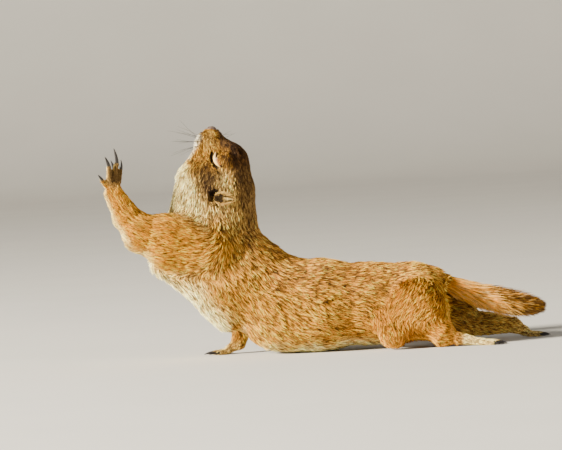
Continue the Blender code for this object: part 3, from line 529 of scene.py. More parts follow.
@dataclass(frozen=True)
class Markings:
    """The colours of the coat over the body, shared by the skin, the tufts and the ears."""

    seed: int = 5
    face: Face = Face()

    @staticmethod
    def spot(head: np.ndarray, middle: tuple, radii: tuple) -> np.ndarray:
        """A soft oval on the side of the head: exp(-(distance over radius) squared)."""
        return np.exp(-(((head[:, :2] - middle) / radii) ** 2).sum(1))

    def hollow(self, head: np.ndarray) -> np.ndarray:
        """The ear's opening: an oval in front of the ear's base, painted black as the shade inside it."""
        apart = (head[:, :2] - self.face.ear_hole) / self.face.ear_hole_radii
        return ramp(np.linalg.norm(apart, axis=1), 1.25, 0.8)

    def open_places(self, points: np.ndarray) -> np.ndarray:
        """Where no hair may lie: the ear's opening and the furrow under the lower lid."""
        head = (points - SKULL) @ HEAD_AXES.T
        return np.maximum(self.hollow(head), self.furrow(head)) * (np.abs(head[:, 2]) > 8)

    def furrow(self, head: np.ndarray) -> np.ndarray:
        """The furrow in front of the lower lid, which is painted black as shade."""
        return ramp(path_distance(head[:, :2], self.face.slit(-4.4, 0.05, 1.0)), 2.0, 1.0)

    def layers(self, points: np.ndarray, normals: np.ndarray, lie: Lie) -> list[tuple[Shade, np.ndarray]]:
        """The colours that lie over the golden ground, each with its mask of place and of facing. Some are painted
        shade or painted light, marked where they stand.

        Args:
            points: Places on the skin.
            normals: The skin's normals there.
            lie: The runs' weights there.
        Returns:
            Pairs of a shade and its share at each place, from the lowest layer up.
        """
        head = (points - SKULL) @ HEAD_AXES.T
        forward, over = head[:, 0], head[:, 1]
        mottle, fine = ripple(points, 26, self.seed), ripple(points, 6, self.seed + 2)
        skull, neck = lie.share(Part.HEAD), lie.share(Part.NECK)
        face = np.clip(skull + neck + ramp(np.linalg.norm(head, axis=1), 46, 38), 0, 1)
        trunk, arm = lie.share(Part.FRONT, Part.REAR), lie.share(Part.ARM_LEFT)
        legs = lie.share(Part.LEG_LEFT, Part.LEG_RIGHT)
        upper = ramp(normals[:, 2] + 0.15 * mottle, 0.0, 0.8)
        low = ramp(points[:, 2], 34, 10) * ramp(points[:, 0], -40, 40)
        front = ramp(-normals[:, 0] - 0.6 * normals[:, 2], 0.45, 1.1)
        belly = ramp(-normals[:, 2] + 0.1 * mottle, 0.55, 0.95) * ramp(points[:, 2], 16, 5)
        breast = ramp(path_distance(points, np.array(BREAST)), 32, 15) * ramp(-normals[:, 0], -0.05, 0.55)
        chin = ramp(path_distance(head[:, :2], np.array([[38.0, -15.0], [32, -19], [24, -26]])), 6.0, 2.5)
        paws = lie.fine()
        left_hand = paws * arm
        return [
            (Shade.BACK, 0.7 * upper * trunk),
            (Shade.TAN, np.clip(neck + 0.8 * skull, 0, 1) * ramp(forward, 12, 0)),
            (Shade.CREAM, 0.45 * face * (1 - skull) * ramp(normals[:, 0], 0.3, -0.3)),
            (Shade.ORANGE, 0.55 * legs),
            (Shade.AMBER, 0.55 * low * ramp(mottle, -1.0, 1.0) * (trunk + legs)),
            (Shade.HONEY, 0.95 * arm),
            (Shade.UMBER, 0.3 * arm * ramp(normals[:, 2], 0.1, 0.8) * ramp(fine, -0.8, 0.8)),
            (Shade.CREAM, 0.6 * arm * front * ramp(points[:, 0], -134, -156)),
            (Shade.CREAM, np.clip(0.75 * belly + 0.95 * breast, 0, 1) * trunk),
            (Shade.CREAM, 0.95 * ramp(over + 0.17 * forward, -20, -29) * face),
            (Shade.TAN, 0.3 * self.spot(head, (15.0, -20.0), (8.0, 7.0)) * skull),
            (Shade.TAN, 0.5 * self.spot(head, (32.0, -7.0), (9.0, 7.0)) * skull),
            (Shade.BROWN, 0.95 * self.spot(head, (-4.0, -12.5), (16.0, 8.0)) * ramp(fine, -3.0, -0.6) * face),
            # The dome over the closed eye: its own brown, deepened with painted shade.
            (Shade.BROWN, 0.75 * self.spot(head, (14.0, 9.0), (9.5, 7.5)) * ramp(fine, -2.6, 0.0) * face),
            # Painted shade: the bridge of the nose, which faces away from the key light, darkened.
            (Shade.UMBER, 0.85 * ramp(over, 1.0, 5.0) * ramp(forward, 19, 27) * skull),
            (Shade.CREAM, 0.4 * self.spot(head, (-4.0, 1.5), (10.0, 4.0)) * face),
            # The crown and the nape: a little darker in their own colour, and darkened much more as painted shade
            # over the back of the head.
            (Shade.BROWN, 0.94 * ramp(over, 8, 13) * np.clip(skull + 0.7 * neck, 0, 1)),
            (Shade.PALE, 0.9 * chin * skull),
            # Painted shade: the furrow under the lower lid, painted black.
            (Shade.BLACK, 0.92 * self.furrow(head) * face),
            # Painted shade: the inside of the ear's opening, painted black.
            (Shade.BLACK, 0.97 * self.hollow(head) * face),
            (Shade.CREAM, 0.5 * paws + 0.35 * paws * legs),
            # The left hand's side that faces away from the key light: dark palm pads, deepened with painted shade
            # between and behind the fingers.
            (Shade.BROWN, 0.8 * left_hand * ramp(normals[:, 0], -0.7, 0.2)),
            # Painted light: the far shank and foot lightened, standing in for the light that the body keeps off
            # them.
            (Shade.TAN, 0.5 * lie.share(Part.LEG_RIGHT) * ramp(points[:, 0], 80, 130)),
        ]

    def colours(self, points: np.ndarray, normals: np.ndarray, lie: Lie) -> np.ndarray:
        """Lays the colours over the golden ground.

        Args:
            points: Places on the skin.
            normals: The skin's normals there.
            lie: The runs' weights there.
        Returns:
            A linear colour for each place.
        """
        colour = np.tile(np.array(Shade.GOLD.value), (len(points), 1))
        for shade, share in self.layers(points, normals, lie):
            colour = blended(colour, shade.value, share)
        return colour * (1 + 0.07 * ripple(points, 11, self.seed + 1))[:, None]

    def ear(self, points: np.ndarray, normals: np.ndarray) -> np.ndarray:
        """The ears' colours: buff, with two creases and the base of the cup painted dark as shade, and a pale
        middle painted as light.

        A place is told by its share of the way from the base to the tip, and by how far
        it lies across that line over the ear's half width there.
        """
        head = (points - SKULL) @ HEAD_AXES.T
        base, run = np.array(self.face.ear_base), np.subtract(self.face.ear_tip, self.face.ear_base)
        along = np.clip((head[:, :2] - base) @ run / (run @ run), 0, 1)
        aside = (head[:, :2] - base) @ np.array([run[1], -run[0]]) / math.sqrt(run @ run)
        across = aside / (5.2 * np.sin(math.pi * (0.12 + 0.84 * along)) ** 0.7)
        cup = ramp(normals[:, 1] * np.sign(points[:, 1]), 0.0, 0.4)
        upper = np.exp(-((across - 0.45) / 0.2) ** 2) * ramp(along, 1.0, 0.8)
        lower = np.exp(-((across + 0.42) / 0.22) ** 2) * ramp(along, 1.0, 0.85)
        lens = ramp(np.abs(across), 0.3, 0.15) * ramp(along, 0.3, 0.5)
        colour = np.tile(np.array(Shade.TAN.value), (len(points), 1))
        # Painted light: the pale middle of the cup, where the fold catches the light.
        colour = blended(colour, Shade.CREAM.value, 0.8 * cup * lens)
        base = ramp(along, 0.42, 0.3) * ramp(np.abs(across), 0.95, 0.75)
        # Painted shade: the two creases and the base of the cup, darkened where shade falls in them.
        return blended(colour, Shade.BLACK.value, 0.95 * cup * np.clip(upper + lower + base, 0, 1))

    def grizzle(self, points: np.ndarray, normals: np.ndarray, lie: Lie) -> np.ndarray:
        """The share of tufts with black tips: most on the back, nape and cheek, least below. The extra share on the
        side of the nape facing away from the key light is painted shade.
        """
        head = (points - SKULL) @ HEAD_AXES.T
        skull, neck = lie.share(Part.HEAD), lie.share(Part.NECK)
        cheek = self.spot(head, (-4.0, -12.5), (16.0, 9.0))
        upper = ramp(normals[:, 2], -0.3, 0.7)
        # The nape term, on the side facing away from the key light, is painted shade.
        share = 0.32 + 0.14 * upper + 0.16 * neck * ramp(normals[:, 0], -0.6, 0.3) + 0.3 * cheek + 0.1 * skull
        pale = lie.share(Part.ARM_LEFT, Part.LEG_LEFT) + ramp(head[:, 1] + 0.17 * head[:, 0], -20, -29) * skull
        return np.clip(share * (1 - 0.5 * np.clip(pale, 0, 1)), 0, 0.7)


class Wire:
    """A number in a shader, on which the signs of Python add Math nodes."""

    def __init__(self, tree: "Tree", socket: bpy.types.NodeSocket):
        """Wraps a socket of a tree."""
        self.tree, self.socket = tree, socket

    def _math(self, operation: str, first: object, second: object) -> "Wire":
        """A Math node over two wires or numbers."""
        node = self.tree.node("ShaderNodeMath", {"operation": operation}, {0: first, 1: second})
        return Wire(self.tree, node.outputs[0])

    def __add__(self, other: object) -> "Wire":
        """The sum."""
        return self._math("ADD", self, other)

    def __sub__(self, other: object) -> "Wire":
        """The difference."""
        return self._math("SUBTRACT", self, other)

    def __rsub__(self, other: object) -> "Wire":
        """The difference, from a number."""
        return self._math("SUBTRACT", other, self)

    def __mul__(self, other: object) -> "Wire":
        """The product."""
        return self._math("MULTIPLY", self, other)

    __radd__ = __add__
    __rmul__ = __mul__


class Tree:
    """The nodes of one material, which ends in its Principled shader."""

    def __init__(self, name: str):
        """Makes the material."""
        self.material = bpy.data.materials.new(name)
        self.material.use_nodes = True
        self.surface = self.material.node_tree.nodes["Principled BSDF"]

    def node(self, kind: str, settings: dict | None = None, sockets: dict | None = None) -> bpy.types.Node:
        """Adds a node.

        Args:
            kind: The node's type.
            settings: Its own properties, which are set first. Stops are a ramp's places and colours.
            sockets: Values, sockets or wires for its inputs, by name or number.
        Returns:
            The node.
        """
        node = self.material.node_tree.nodes.new(kind)
        for key, value in (settings or {}).items():
            if key == "stops":
                for number, (position, colour) in enumerate(value):
                    elements = node.color_ramp.elements
                    element = elements[number] if number < 2 else elements.new(position)
                    element.position, element.color = position, (*colour, 1.0)
            else:
                setattr(node, key, value)
        for key, value in (sockets or {}).items():
            self.feed(node.inputs[key], value)
        return node

    def feed(self, entry: bpy.types.NodeSocket, value: object) -> None:
        """Links a wire or a socket to an entry, or sets its value."""
        value = value.socket if isinstance(value, Wire) else value
        if isinstance(value, bpy.types.NodeSocket):
            self.material.node_tree.links.new(value, entry)
        else:
            entry.default_value = value

    def mixed(self, first: object, second: object, share: object, way: str = "MIX") -> bpy.types.NodeSocket:
        """Two colours mixed by a share."""
        node = self.node("ShaderNodeMix", {"data_type": "RGBA", "blend_type": way}, {0: share, 6: first, 7: second})
        return node.outputs[2]

    def noise(self, scale: float, detail: float = 2.0, stretch: Colour = (1.0, 1.0, 1.0)) -> Wire:
        """Noise over the object's own coordinates, scaled for each axis by stretch."""
        spot = self.node("ShaderNodeTexCoord").outputs["Object"]
        drawn = self.node("ShaderNodeMapping", None, {"Vector": spot, "Scale": stretch}).outputs[0]
        node = self.node("ShaderNodeTexNoise", None, {"Vector": drawn, "Scale": scale, "Detail": detail})
        return Wire(self, node.outputs["Fac"])

    def bump(self, height: Wire, strength: float, distance: float) -> None:
        """Raises the surface by a height, in metres at distance."""
        node = self.node("ShaderNodeBump", None, {"Strength": strength, "Distance": distance, "Height": height})
        self.feed(self.surface.inputs["Normal"], node.outputs[0])

    def set(self, **values: object) -> None:
        """Sets or links the shader's own sockets, with _ for a space in their names."""
        for key, value in values.items():
            self.feed(self.surface.inputs[key.replace("_", " ")], value)


@dataclass(frozen=True)
class Hair:
    """Fine hair: the coat's own colours, streaked, with a soft gloss."""

    name: str
    roughness: float = 0.7
    streak: float = 0.22
    dim: float = 1.0

    def material(self) -> bpy.types.Material:
        """The finish, as a material that reads the coat's colour attribute."""
        tree = Tree(self.name)
        pelt = tree.node("ShaderNodeAttribute", {"attribute_name": PELT}).outputs["Color"]
        fine = tree.noise(1300.0)
        level = (fine - 0.5) * (2 * self.streak) + self.dim
        tone = tree.node("ShaderNodeCombineColor", None, {0: level, 1: level, 2: level}).outputs[0]
        tree.set(Base_Color=tree.mixed(pelt, tone, 1.0, "MULTIPLY"), Roughness=fine * 0.2 + (self.roughness - 0.1),
                 Specular_IOR_Level=0.12)
        return tree.material


@dataclass(frozen=True)
class Hide:
    """Skin under the coat: its colours, duller, with the grain of the short hair as bump."""

    name: str

    def material(self) -> bpy.types.Material:
        """The finish, as a material."""
        tree = Tree(self.name)
        pelt = tree.node("ShaderNodeAttribute", {"attribute_name": PELT}).outputs["Color"]
        grain = tree.noise(900.0, 3.0, (0.35, 1.0, 0.6))
        level = grain * 0.5 + 0.45
        tone = tree.node("ShaderNodeCombineColor", None, {0: level, 1: level, 2: level}).outputs[0]
        tree.set(Base_Color=tree.mixed(pelt, tone, 1.0, "MULTIPLY"), Roughness=0.85, Specular_IOR_Level=0.15)
        tree.bump(grain, 0.6, 0.0006)
        return tree.material


@dataclass(frozen=True)
class Horn:
    """Claw horn: nearly black, smooth, with faint lengthwise wear."""

    name: str = "claw_horn"

    def material(self) -> bpy.types.Material:
        """The finish, as a material."""
        tree = Tree(self.name)
        wear = tree.noise(420.0, 4.0)
        colour = tree.mixed((*Shade.BLACK.value, 1.0), (*linear(52, 49, 52), 1.0), wear * wear * 0.9)
        tree.set(Base_Color=colour, Roughness=wear * 0.2 + 0.3, Specular_IOR_Level=0.32)
        tree.bump(wear, 0.25, 0.0002)
        return tree.material


@dataclass(frozen=True)
class Bare:
    """Bare skin, such as the nose's and the lids': fine pebbled grain, a little moist."""

    name: str
    colour: Colour
    worn: Colour
    roughness: float
    grain: float

    def material(self) -> bpy.types.Material:
        """The finish, as a material."""
        tree = Tree(self.name)
        cell = tree.node("ShaderNodeTexVoronoi", None, {
            "Vector": tree.node("ShaderNodeTexCoord").outputs["Object"], "Scale": self.grain}).outputs["Distance"]
        pebble = Wire(tree, cell)
        tint = tree.noise(500.0, 3.0)
        tree.set(Base_Color=tree.mixed((*self.colour, 1.0), (*self.worn, 1.0), tint), Roughness=self.roughness,
                 Specular_IOR_Level=0.4)
        tree.bump(1.0 - pebble, 0.5, 0.0003)
        return tree.material


@dataclass(frozen=True)
class Wet:
    """The wet dark eye between the lids."""

    name: str = "eye"

    def material(self) -> bpy.types.Material:
        """The finish, as a material."""
        tree = Tree(self.name)
        depth = tree.noise(300.0)
        tree.set(Base_Color=tree.mixed((0.004, 0.003, 0.003, 1), (0.03, 0.014, 0.006, 1), depth), Roughness=0.2,
                 Specular_IOR_Level=0.5, Coat_Weight=0.2)
        return tree.material


@dataclass(frozen=True)
class Plaster:
    """The pale floor and backdrop."""

    name: str = "floor"

    def material(self) -> bpy.types.Material:
        """The finish, as a material."""
        tree = Tree(self.name)
        cloud = tree.noise(6.0, 3.0)
        tree.set(Base_Color=tree.mixed((0.66, 0.64, 0.61, 1), (0.72, 0.70, 0.67, 1), cloud), Roughness=0.9)
        return tree.material


def dressed(obj: bpy.types.Object, material: bpy.types.Material, slot: str, *nodes: str) -> bpy.types.Object:
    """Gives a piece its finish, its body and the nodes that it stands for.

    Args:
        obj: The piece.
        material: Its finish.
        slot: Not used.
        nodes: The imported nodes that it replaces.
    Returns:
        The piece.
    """
    obj.data.materials.clear()
    obj.data.materials.append(material)
    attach(obj, "root")
    if nodes:
        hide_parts(*nodes)
    LOG.info("%s: %d vertices, %d faces", obj.name, len(obj.data.vertices), len(obj.data.polygons))
    return obj


@dataclass(frozen=True)
class Skin:
    """One skin over all the flesh, sunk by the depth of the coat."""

    cell: float = 0.8
    swell: float = 0.35
    rounds: int = 12
    faces: int = 188000
    tail_sides: int = 16
    face: Face = Face()

    def flesh(self) -> list[str]:
        """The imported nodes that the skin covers."""
        apart = ("claw", "eye", "nose", "ear", "tail")
        return sorted(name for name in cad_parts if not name.startswith(apart))

    def tail_core(self) -> tuple[np.ndarray, np.ndarray]:
        """The slim solid middle of the tail: circles on its curve, rooted in the rump."""
        share = np.linspace(-0.06, 0.95, 30)
        radii = Brush.core(np.clip(share[1:-1], 0, 1))
        return swept(Brush.middle(share), radii, radii, np.array([0.0, 0, 1]), self.tail_sides), tube_faces(
            len(share) - 2, self.tail_sides)

    def raw(self) -> Surface:
        """The flesh and the tail's core, swollen over the thin cuts between them and made one by cells."""
        meshes = [self.tail_core()]
        for name in self.flesh():
            part = Surface.of(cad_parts[name])
            meshes.append((part.points + part.normals() * self.swell, part.faces))
        whole = raise_mesh("whole", *joined(meshes))
        modifier = whole.modifiers.new("cells", "REMESH")
        modifier.mode, modifier.voxel_size = "VOXEL", self.cell * MM
        shape = whole.evaluated_get(bpy.context.evaluated_depsgraph_get())
        surface = Surface.of(shape)
        bpy.data.objects.remove(whole)
        return surface.largest_part()

    def relief(self, surface: Surface) -> Surface:
        """Presses the mouth line and the furrow under the lower lid into the skin.

        The push at a place is depth * exp(-(distance from the line / width) squared).
        """
        tree, points = surface.tree(), surface.points
        push = np.zeros(len(points))
        near = np.linalg.norm(points - on_head(20, -5), axis=1) < 45
        for side in (-1, 1):
            for line, depth, width in ((np.array(self.face.mouth), 1.0, 0.9), (self.face.slit(-4.4), 1.1, 1.3)):
                path = self.face.on_skin(tree, line, side)
                push[near] += depth * np.exp(-(path_distance(points[near], path) / width) ** 2)
        return Surface(points - surface.normals() * push[:, None], surface.faces)

    def thinned(self, surface: Surface) -> Surface:
        """The surface with fewer triangles."""
        obj = raise_mesh("thick", surface.points, surface.faces)
        modifier = obj.modifiers.new("thin", "DECIMATE")
        modifier.ratio = min(1.0, self.faces / len(surface.faces))
        thin = Surface.of(obj.evaluated_get(bpy.context.evaluated_depsgraph_get()))
        bpy.data.objects.remove(obj)
        return thin

    def surface(self) -> Surface:
        """The whole skin's surface: joined, smoothed, sunk, and pressed in at the face."""
        surface = self.raw()
        lie = Lie(surface.points)
        fine = ramp(lie.blend("depth"), 0.5, 2.4)
        surface = surface.smoothed(self.rounds, 0.25 + 0.75 * fine)
        depth = lie.blend("depth") + self.swell
        sunk = surface.points - surface.normals() * depth[:, None]
        surface = Surface(sunk, surface.faces).smoothed(4, 0.2 + 0.8 * fine)
        surface.points[:, 2] = np.maximum(surface.points[:, 2], 0.25)
        return self.thinned(self.relief(surface))

    def build(self, surface: Surface, markings: Markings) -> bpy.types.Object:
        """Makes and dresses the skin."""
        obj = raise_mesh("skin", surface.points, surface.faces)
        lie = Lie(surface.points)
        # Painted shade: the skin is darker where the coat over it is deeper, for the shade down among the tufts.
        shade = 0.28 + 0.5 * ramp(lie.blend("depth"), 1.2, 0.4)
        paint_points(obj, markings.colours(surface.points, surface.normals(), lie) * shade[:, None])
        return dressed(obj, Hide("hide").material(), "coat", *self.flesh(), "tail")


@dataclass
class Tufts:
    """Many tufts of hair, as arrays with a row for each."""

    root: np.ndarray
    out: np.ndarray
    way: np.ndarray
    length: np.ndarray
    width: np.ndarray
    lean: np.ndarray
    dark: np.ndarray
    mid: np.ndarray
    tip: np.ndarray

    def kept(self, keep: np.ndarray) -> "Tufts":
        """Only some of them."""
        return Tufts(*(values[keep] for values in vars(self).values()))

    def mesh(self, name: str, rings: int = 1) -> bpy.types.Object:
        """Makes each tuft a closed spindle: a root point, one or two three-sided rings and a tip.

        The tuft leaves the skin at its lean and bends down towards the lie: the height at
        a share s of its length is length * sin(lean) * (1.5 s - 0.75 s squared).

        Args:
            name: The piece's name.
            rings: How many rings, one or two.
        Returns:
            The piece, with the colours and the bake map of its tufts.
        """
        count = len(self.root)
        shares = np.array([0.0, 0.38, 1.0] if rings == 1 else [0.0, 0.28, 0.66, 1.0])
        widths = np.array([1.0] if rings == 1 else [1.0, 0.8])
        side = np.cross(self.out, self.way)
        rise = np.sin(self.lean)[:, None] * (1.5 * shares - 0.75 * shares**2)
        ahead = np.cos(self.lean * 0.8)[:, None] * shares
        spots = self.root[:, None] + self.length[:, None, None] * (
            self.way[:, None] * ahead[..., None] + self.out[:, None] * rise[..., None])
        spots[:, 0] -= self.out * 0.35
        half = (self.width[:, None] * widths / 2)[..., None]
        middle = spots[:, 1:-1]
        ring = np.stack([
            middle + side[:, None] * half - self.out[:, None] * half * 0.35,
            middle + self.out[:, None] * half * 0.8,
            middle - side[:, None] * half - self.out[:, None] * half * 0.35,
        ], 2).reshape(count, -1, 3)
        points = np.concatenate([ring, spots[:, :1], spots[:, -1:]], 1)
        points[..., 2] = np.maximum(points[..., 2], 0.1)
        each = points.shape[1]
        faces = tube_faces(rings, 3)[None] + (np.arange(count) * each)[:, None, None]
        obj = raise_mesh(name, points.reshape(-1, 3), faces.reshape(-1, 3), smooth=False)
        bands = [self.mid] * 3 if rings == 1 else [self.mid] * 3 + [(self.mid + self.tip) / 2] * 3
        paint_points(obj, np.stack(bands + [self.dark, self.tip], 1).reshape(-1, 3))
        self.lay_map(obj, each, shares, rings)
        return obj

    def lay_map(self, obj: bpy.types.Object, each: int, shares: np.ndarray, rings: int) -> None:
        """Lays each tuft on its own small patch of an unwrap of the skin.

        The unwrap runs along the piece's long axis one way and round it the other. The
        roots are put in columns of equal count along it and ordered round it in each, so
        that every tuft has a cell to itself.

        Args:
            obj: The piece.
            each: How many vertices a tuft has.
            shares: How far along the tuft its spots lie.
            rings: How many rings it has.
        """
        count = len(self.root)
        middle = self.root.mean(0)
        axes = np.linalg.eigh(np.cov((self.root - middle).T))[1]
        along, a, b = ((self.root - middle) @ axes[:, i] for i in (2, 1, 0))
        columns = max(int(math.sqrt(count)), 1)
        column = np.empty(count, int)
        column[np.argsort(along)] = np.arange(count) * columns // count
        order = np.lexsort((np.arctan2(b, a), column))
        row = np.empty(count)
        starts = np.searchsorted(column[order], np.arange(columns))
        totals = np.bincount(column, minlength=columns)
        row[order] = (np.arange(count) - starts[column[order]] + 0.5) / totals[column[order]]
        patch = 0.003
        corner = np.stack([(column + 0.5) / columns, row], 1) * (1 - 2 * patch) + patch / 2
        across = np.tile([0.0, 0.5, 1.0], rings)
        local = np.concatenate([
            np.stack([across, np.repeat(shares[1:-1], 3)], 1), [[0.5, 0.0], [0.5, 1.0]]]) * patch
        spots = (corner[:, None] + local[None]).reshape(-1, 2)
        corners = np.empty(len(obj.data.loops), np.int32)
        obj.data.loops.foreach_get("vertex_index", corners)
        layer = obj.data.uv_layers.new(name=BAKE_MAP)
        layer.data.foreach_set("uv", spots[corners].astype(np.float32).ravel())


@dataclass(frozen=True)
class Coat:
    """The coat: tufts over the whole skin, finer on the face, the hands and the feet."""

    thickness: float = 1.25
    fineness: float = 0.88
    most: int = 32000
    face: Face = Face()

    def grown(self, skin: Surface, markings: Markings, random: np.random.Generator) -> tuple[Tufts, np.ndarray]:
        """Grows the tufts over the body.

        Args:
            skin: The sunk skin.
            markings: The coat's colours.
            random: The chance in each tuft.
        Returns:
            The tufts, and the number of the part that each belongs to.
        """
        middle = skin.points[skin.faces].mean(1)
        roots, out = skin.scatter(Lie(middle).blend("density") * self.thickness, random)
        clear = self.clear(skin, roots)
        roots, out = roots[clear], out[clear]
        lie = Lie(roots)
        count, part, way = len(roots), lie.part(), lie.way(out)
        clump, streak = ripple(roots, 7.0, 3), self.streaks(roots, way)
        turn = 0.10 * ripple(roots, 22.0, 4) + 0.03 * clump + random.normal(0, 0.14, count)
        side = np.cross(out, way)
        way = way * np.cos(turn)[:, None] + side * np.sin(turn)[:, None]
        parting = self.partings(roots, lie)
        length = lie.blend("length")
        lean = lie.blend("lean") * (1 + 0.03 * clump + 0.08 * streak + random.normal(0, 0.18, count))
        grown = random.uniform(0.75, 1.2, count) * (1 + 0.06 * streak) * (1 - 0.35 * parting)
        near = np.linalg.norm(roots - SKULL, axis=1) < 45
        reach = [markings.open_places(roots[near] + way[near] * step) for step in (0.0, 1.2, 2.4)]
        grown[near] *= 1 - 0.8 * np.max(reach, axis=0)
        length *= grown
        seen = roots + way * (0.6 * length)[:, None]
        base = markings.colours(seen, out, lie)
        calm = 1 - 0.4 * lie.share(Part.LEG_LEFT, Part.ARM_LEFT)
        uneven = (0.38 * streak + random.normal(0, 0.42, count)) * calm
        # Tufts in the partings are darkened: painted shade in the cracks of the coat.
        base *= (np.clip(1 + uneven, 0.22, 2.0) * (1 - 0.6 * parting))[:, None]
        black = random.random(count) < markings.grizzle(seen, out, lie)
        light = random.random(count) < 0.34 + 0.12 * streak
        width = lie.blend("width") * self.fineness * random.uniform(0.8, 1.2, count)
        tufts = Tufts(roots, out, way, length, width, np.clip(lean, 0.08, 0.8),
                      *self.bands(base, black, light))
        return tufts, part

    @staticmethod
    def bands(base: np.ndarray, black: np.ndarray, light: np.ndarray) -> tuple[np.ndarray, np.ndarray, np.ndarray]:
        """The colours of root, middle and tip, dark to bright, some tips pale and some black. The dark roots and
        middles are partly the hair's own banding and partly painted shade deep in the coat.
        """
        frost = blended(base * 1.9, Shade.CREAM.value, 0.18 * ramp(base[:, 0], 0.05, 0.5))
        tip = np.where(light[:, None], frost, base * 1.15)
        tip = blended(tip, Shade.BLACK.value, np.where(black, 0.9, 0.0))
        mid = blended(base * (0.52 + 0.3 * ramp(base[:, 2], 0.12, 0.3))[:, None], Shade.BROWN.value, np.where(black, 0.65, 0.0))
        return base * 0.12, mid, tip

    @staticmethod
    def streaks(roots: np.ndarray, way: np.ndarray) -> np.ndarray:
        """Noise of unit spread drawn out along the lie: fine noise averaged over steps along it."""
        drawn = sum(ripple(roots + way * step, 2.0, 6) for step in (-1.2, 0.0, 1.2))
        return drawn / drawn.std()

    @staticmethod
    def partings(roots: np.ndarray, lie: Lie) -> np.ndarray:
        """Where the coat parts in thin upright lines over the trunk and the thighs: near zeros of a wave."""
        wave = np.abs(ripple(roots * (1.0, 0.6, 0.35), 30.0, 9))
        body = lie.share(Part.FRONT, Part.REAR, Part.LEG_LEFT, Part.LEG_RIGHT)
        return ramp(wave, 0.10, 0.0) * ramp(ripple(roots, 18.0, 10), 0.3, 0.9) * body

    def eared(self, ear: Surface, markings: Markings, random: np.random.Generator) -> Tufts:
        """Grows the short hair of an ear, which lies from its base to its tip."""
        roots, out = ear.scatter(np.full(len(ear.faces), 3.4), random)
        heading = np.tile(on_head(*self.face.ear_tip) - on_head(*self.face.ear_base), (len(roots), 1))
        way = unit(heading - dot(heading, out)[:, None] * out)
        side = np.cross(out, way)
        turn = random.normal(0, 0.3, len(roots))
        way = way * np.cos(turn)[:, None] + side * np.sin(turn)[:, None]
        base = markings.ear(roots, out) * random.normal(1, 0.16, len(roots))[:, None]
        black, light = random.random((2, len(roots))) < np.array([[0.16], [0.4]])
        return Tufts(roots, out, way, random.uniform(1.8, 3.0, len(roots)), random.uniform(0.35, 0.5, len(roots)),
                     random.uniform(0.2, 0.45, len(roots)), *self.bands(base, black, light))

    def clear(self, skin: Surface, roots: np.ndarray) -> np.ndarray:
        """Which roots lie clear of the bare parts: the nose, the lids' rims and the mouth line."""
        tree = skin.tree()
        keep = np.linalg.norm((roots - on_head(*NOSE_PLACE)) @ HEAD_AXES.T / (4.2, 5.0, 5.0), axis=1) > 1
        near = np.linalg.norm(roots - on_head(20, -5), axis=1) < 45
        for side in (-1, 1):
            for line, width in ((np.array(self.face.mouth), 0.5), (self.face.slit(-2.4, 0.05, 1.0), 2.8)):
                path = self.face.on_skin(tree, line, side)
                keep[near] &= path_distance(roots[near], path) > width
        return keep

    def build(self, skin: Surface, markings: Markings, ears: list[Surface]) -> None:
        """Makes the coat's pieces: one for each part of the body, the larger ones in two, and the ears'."""
        random = np.random.default_rng(SEED)
        tufts, part = self.grown(skin, markings, random)
        hair = Hair("coat_hair").material()
        for number, name in enumerate(Part):
            inside = part == number
            sides = {"": inside}
            if inside.sum() > self.most:
                left = tufts.root[:, 1] < 0
                sides = {"_left": inside & left, "_right": inside & ~left}
            for label, chosen in sides.items():
                dressed(tufts.kept(chosen).mesh(f"coat_{name.value}{label}"), hair, "coat")
        for ear, label in zip(ears, ("left", "right")):
            dressed(self.eared(ear, markings, random).mesh(f"coat_ear_{label}"), hair, "coat_pale")


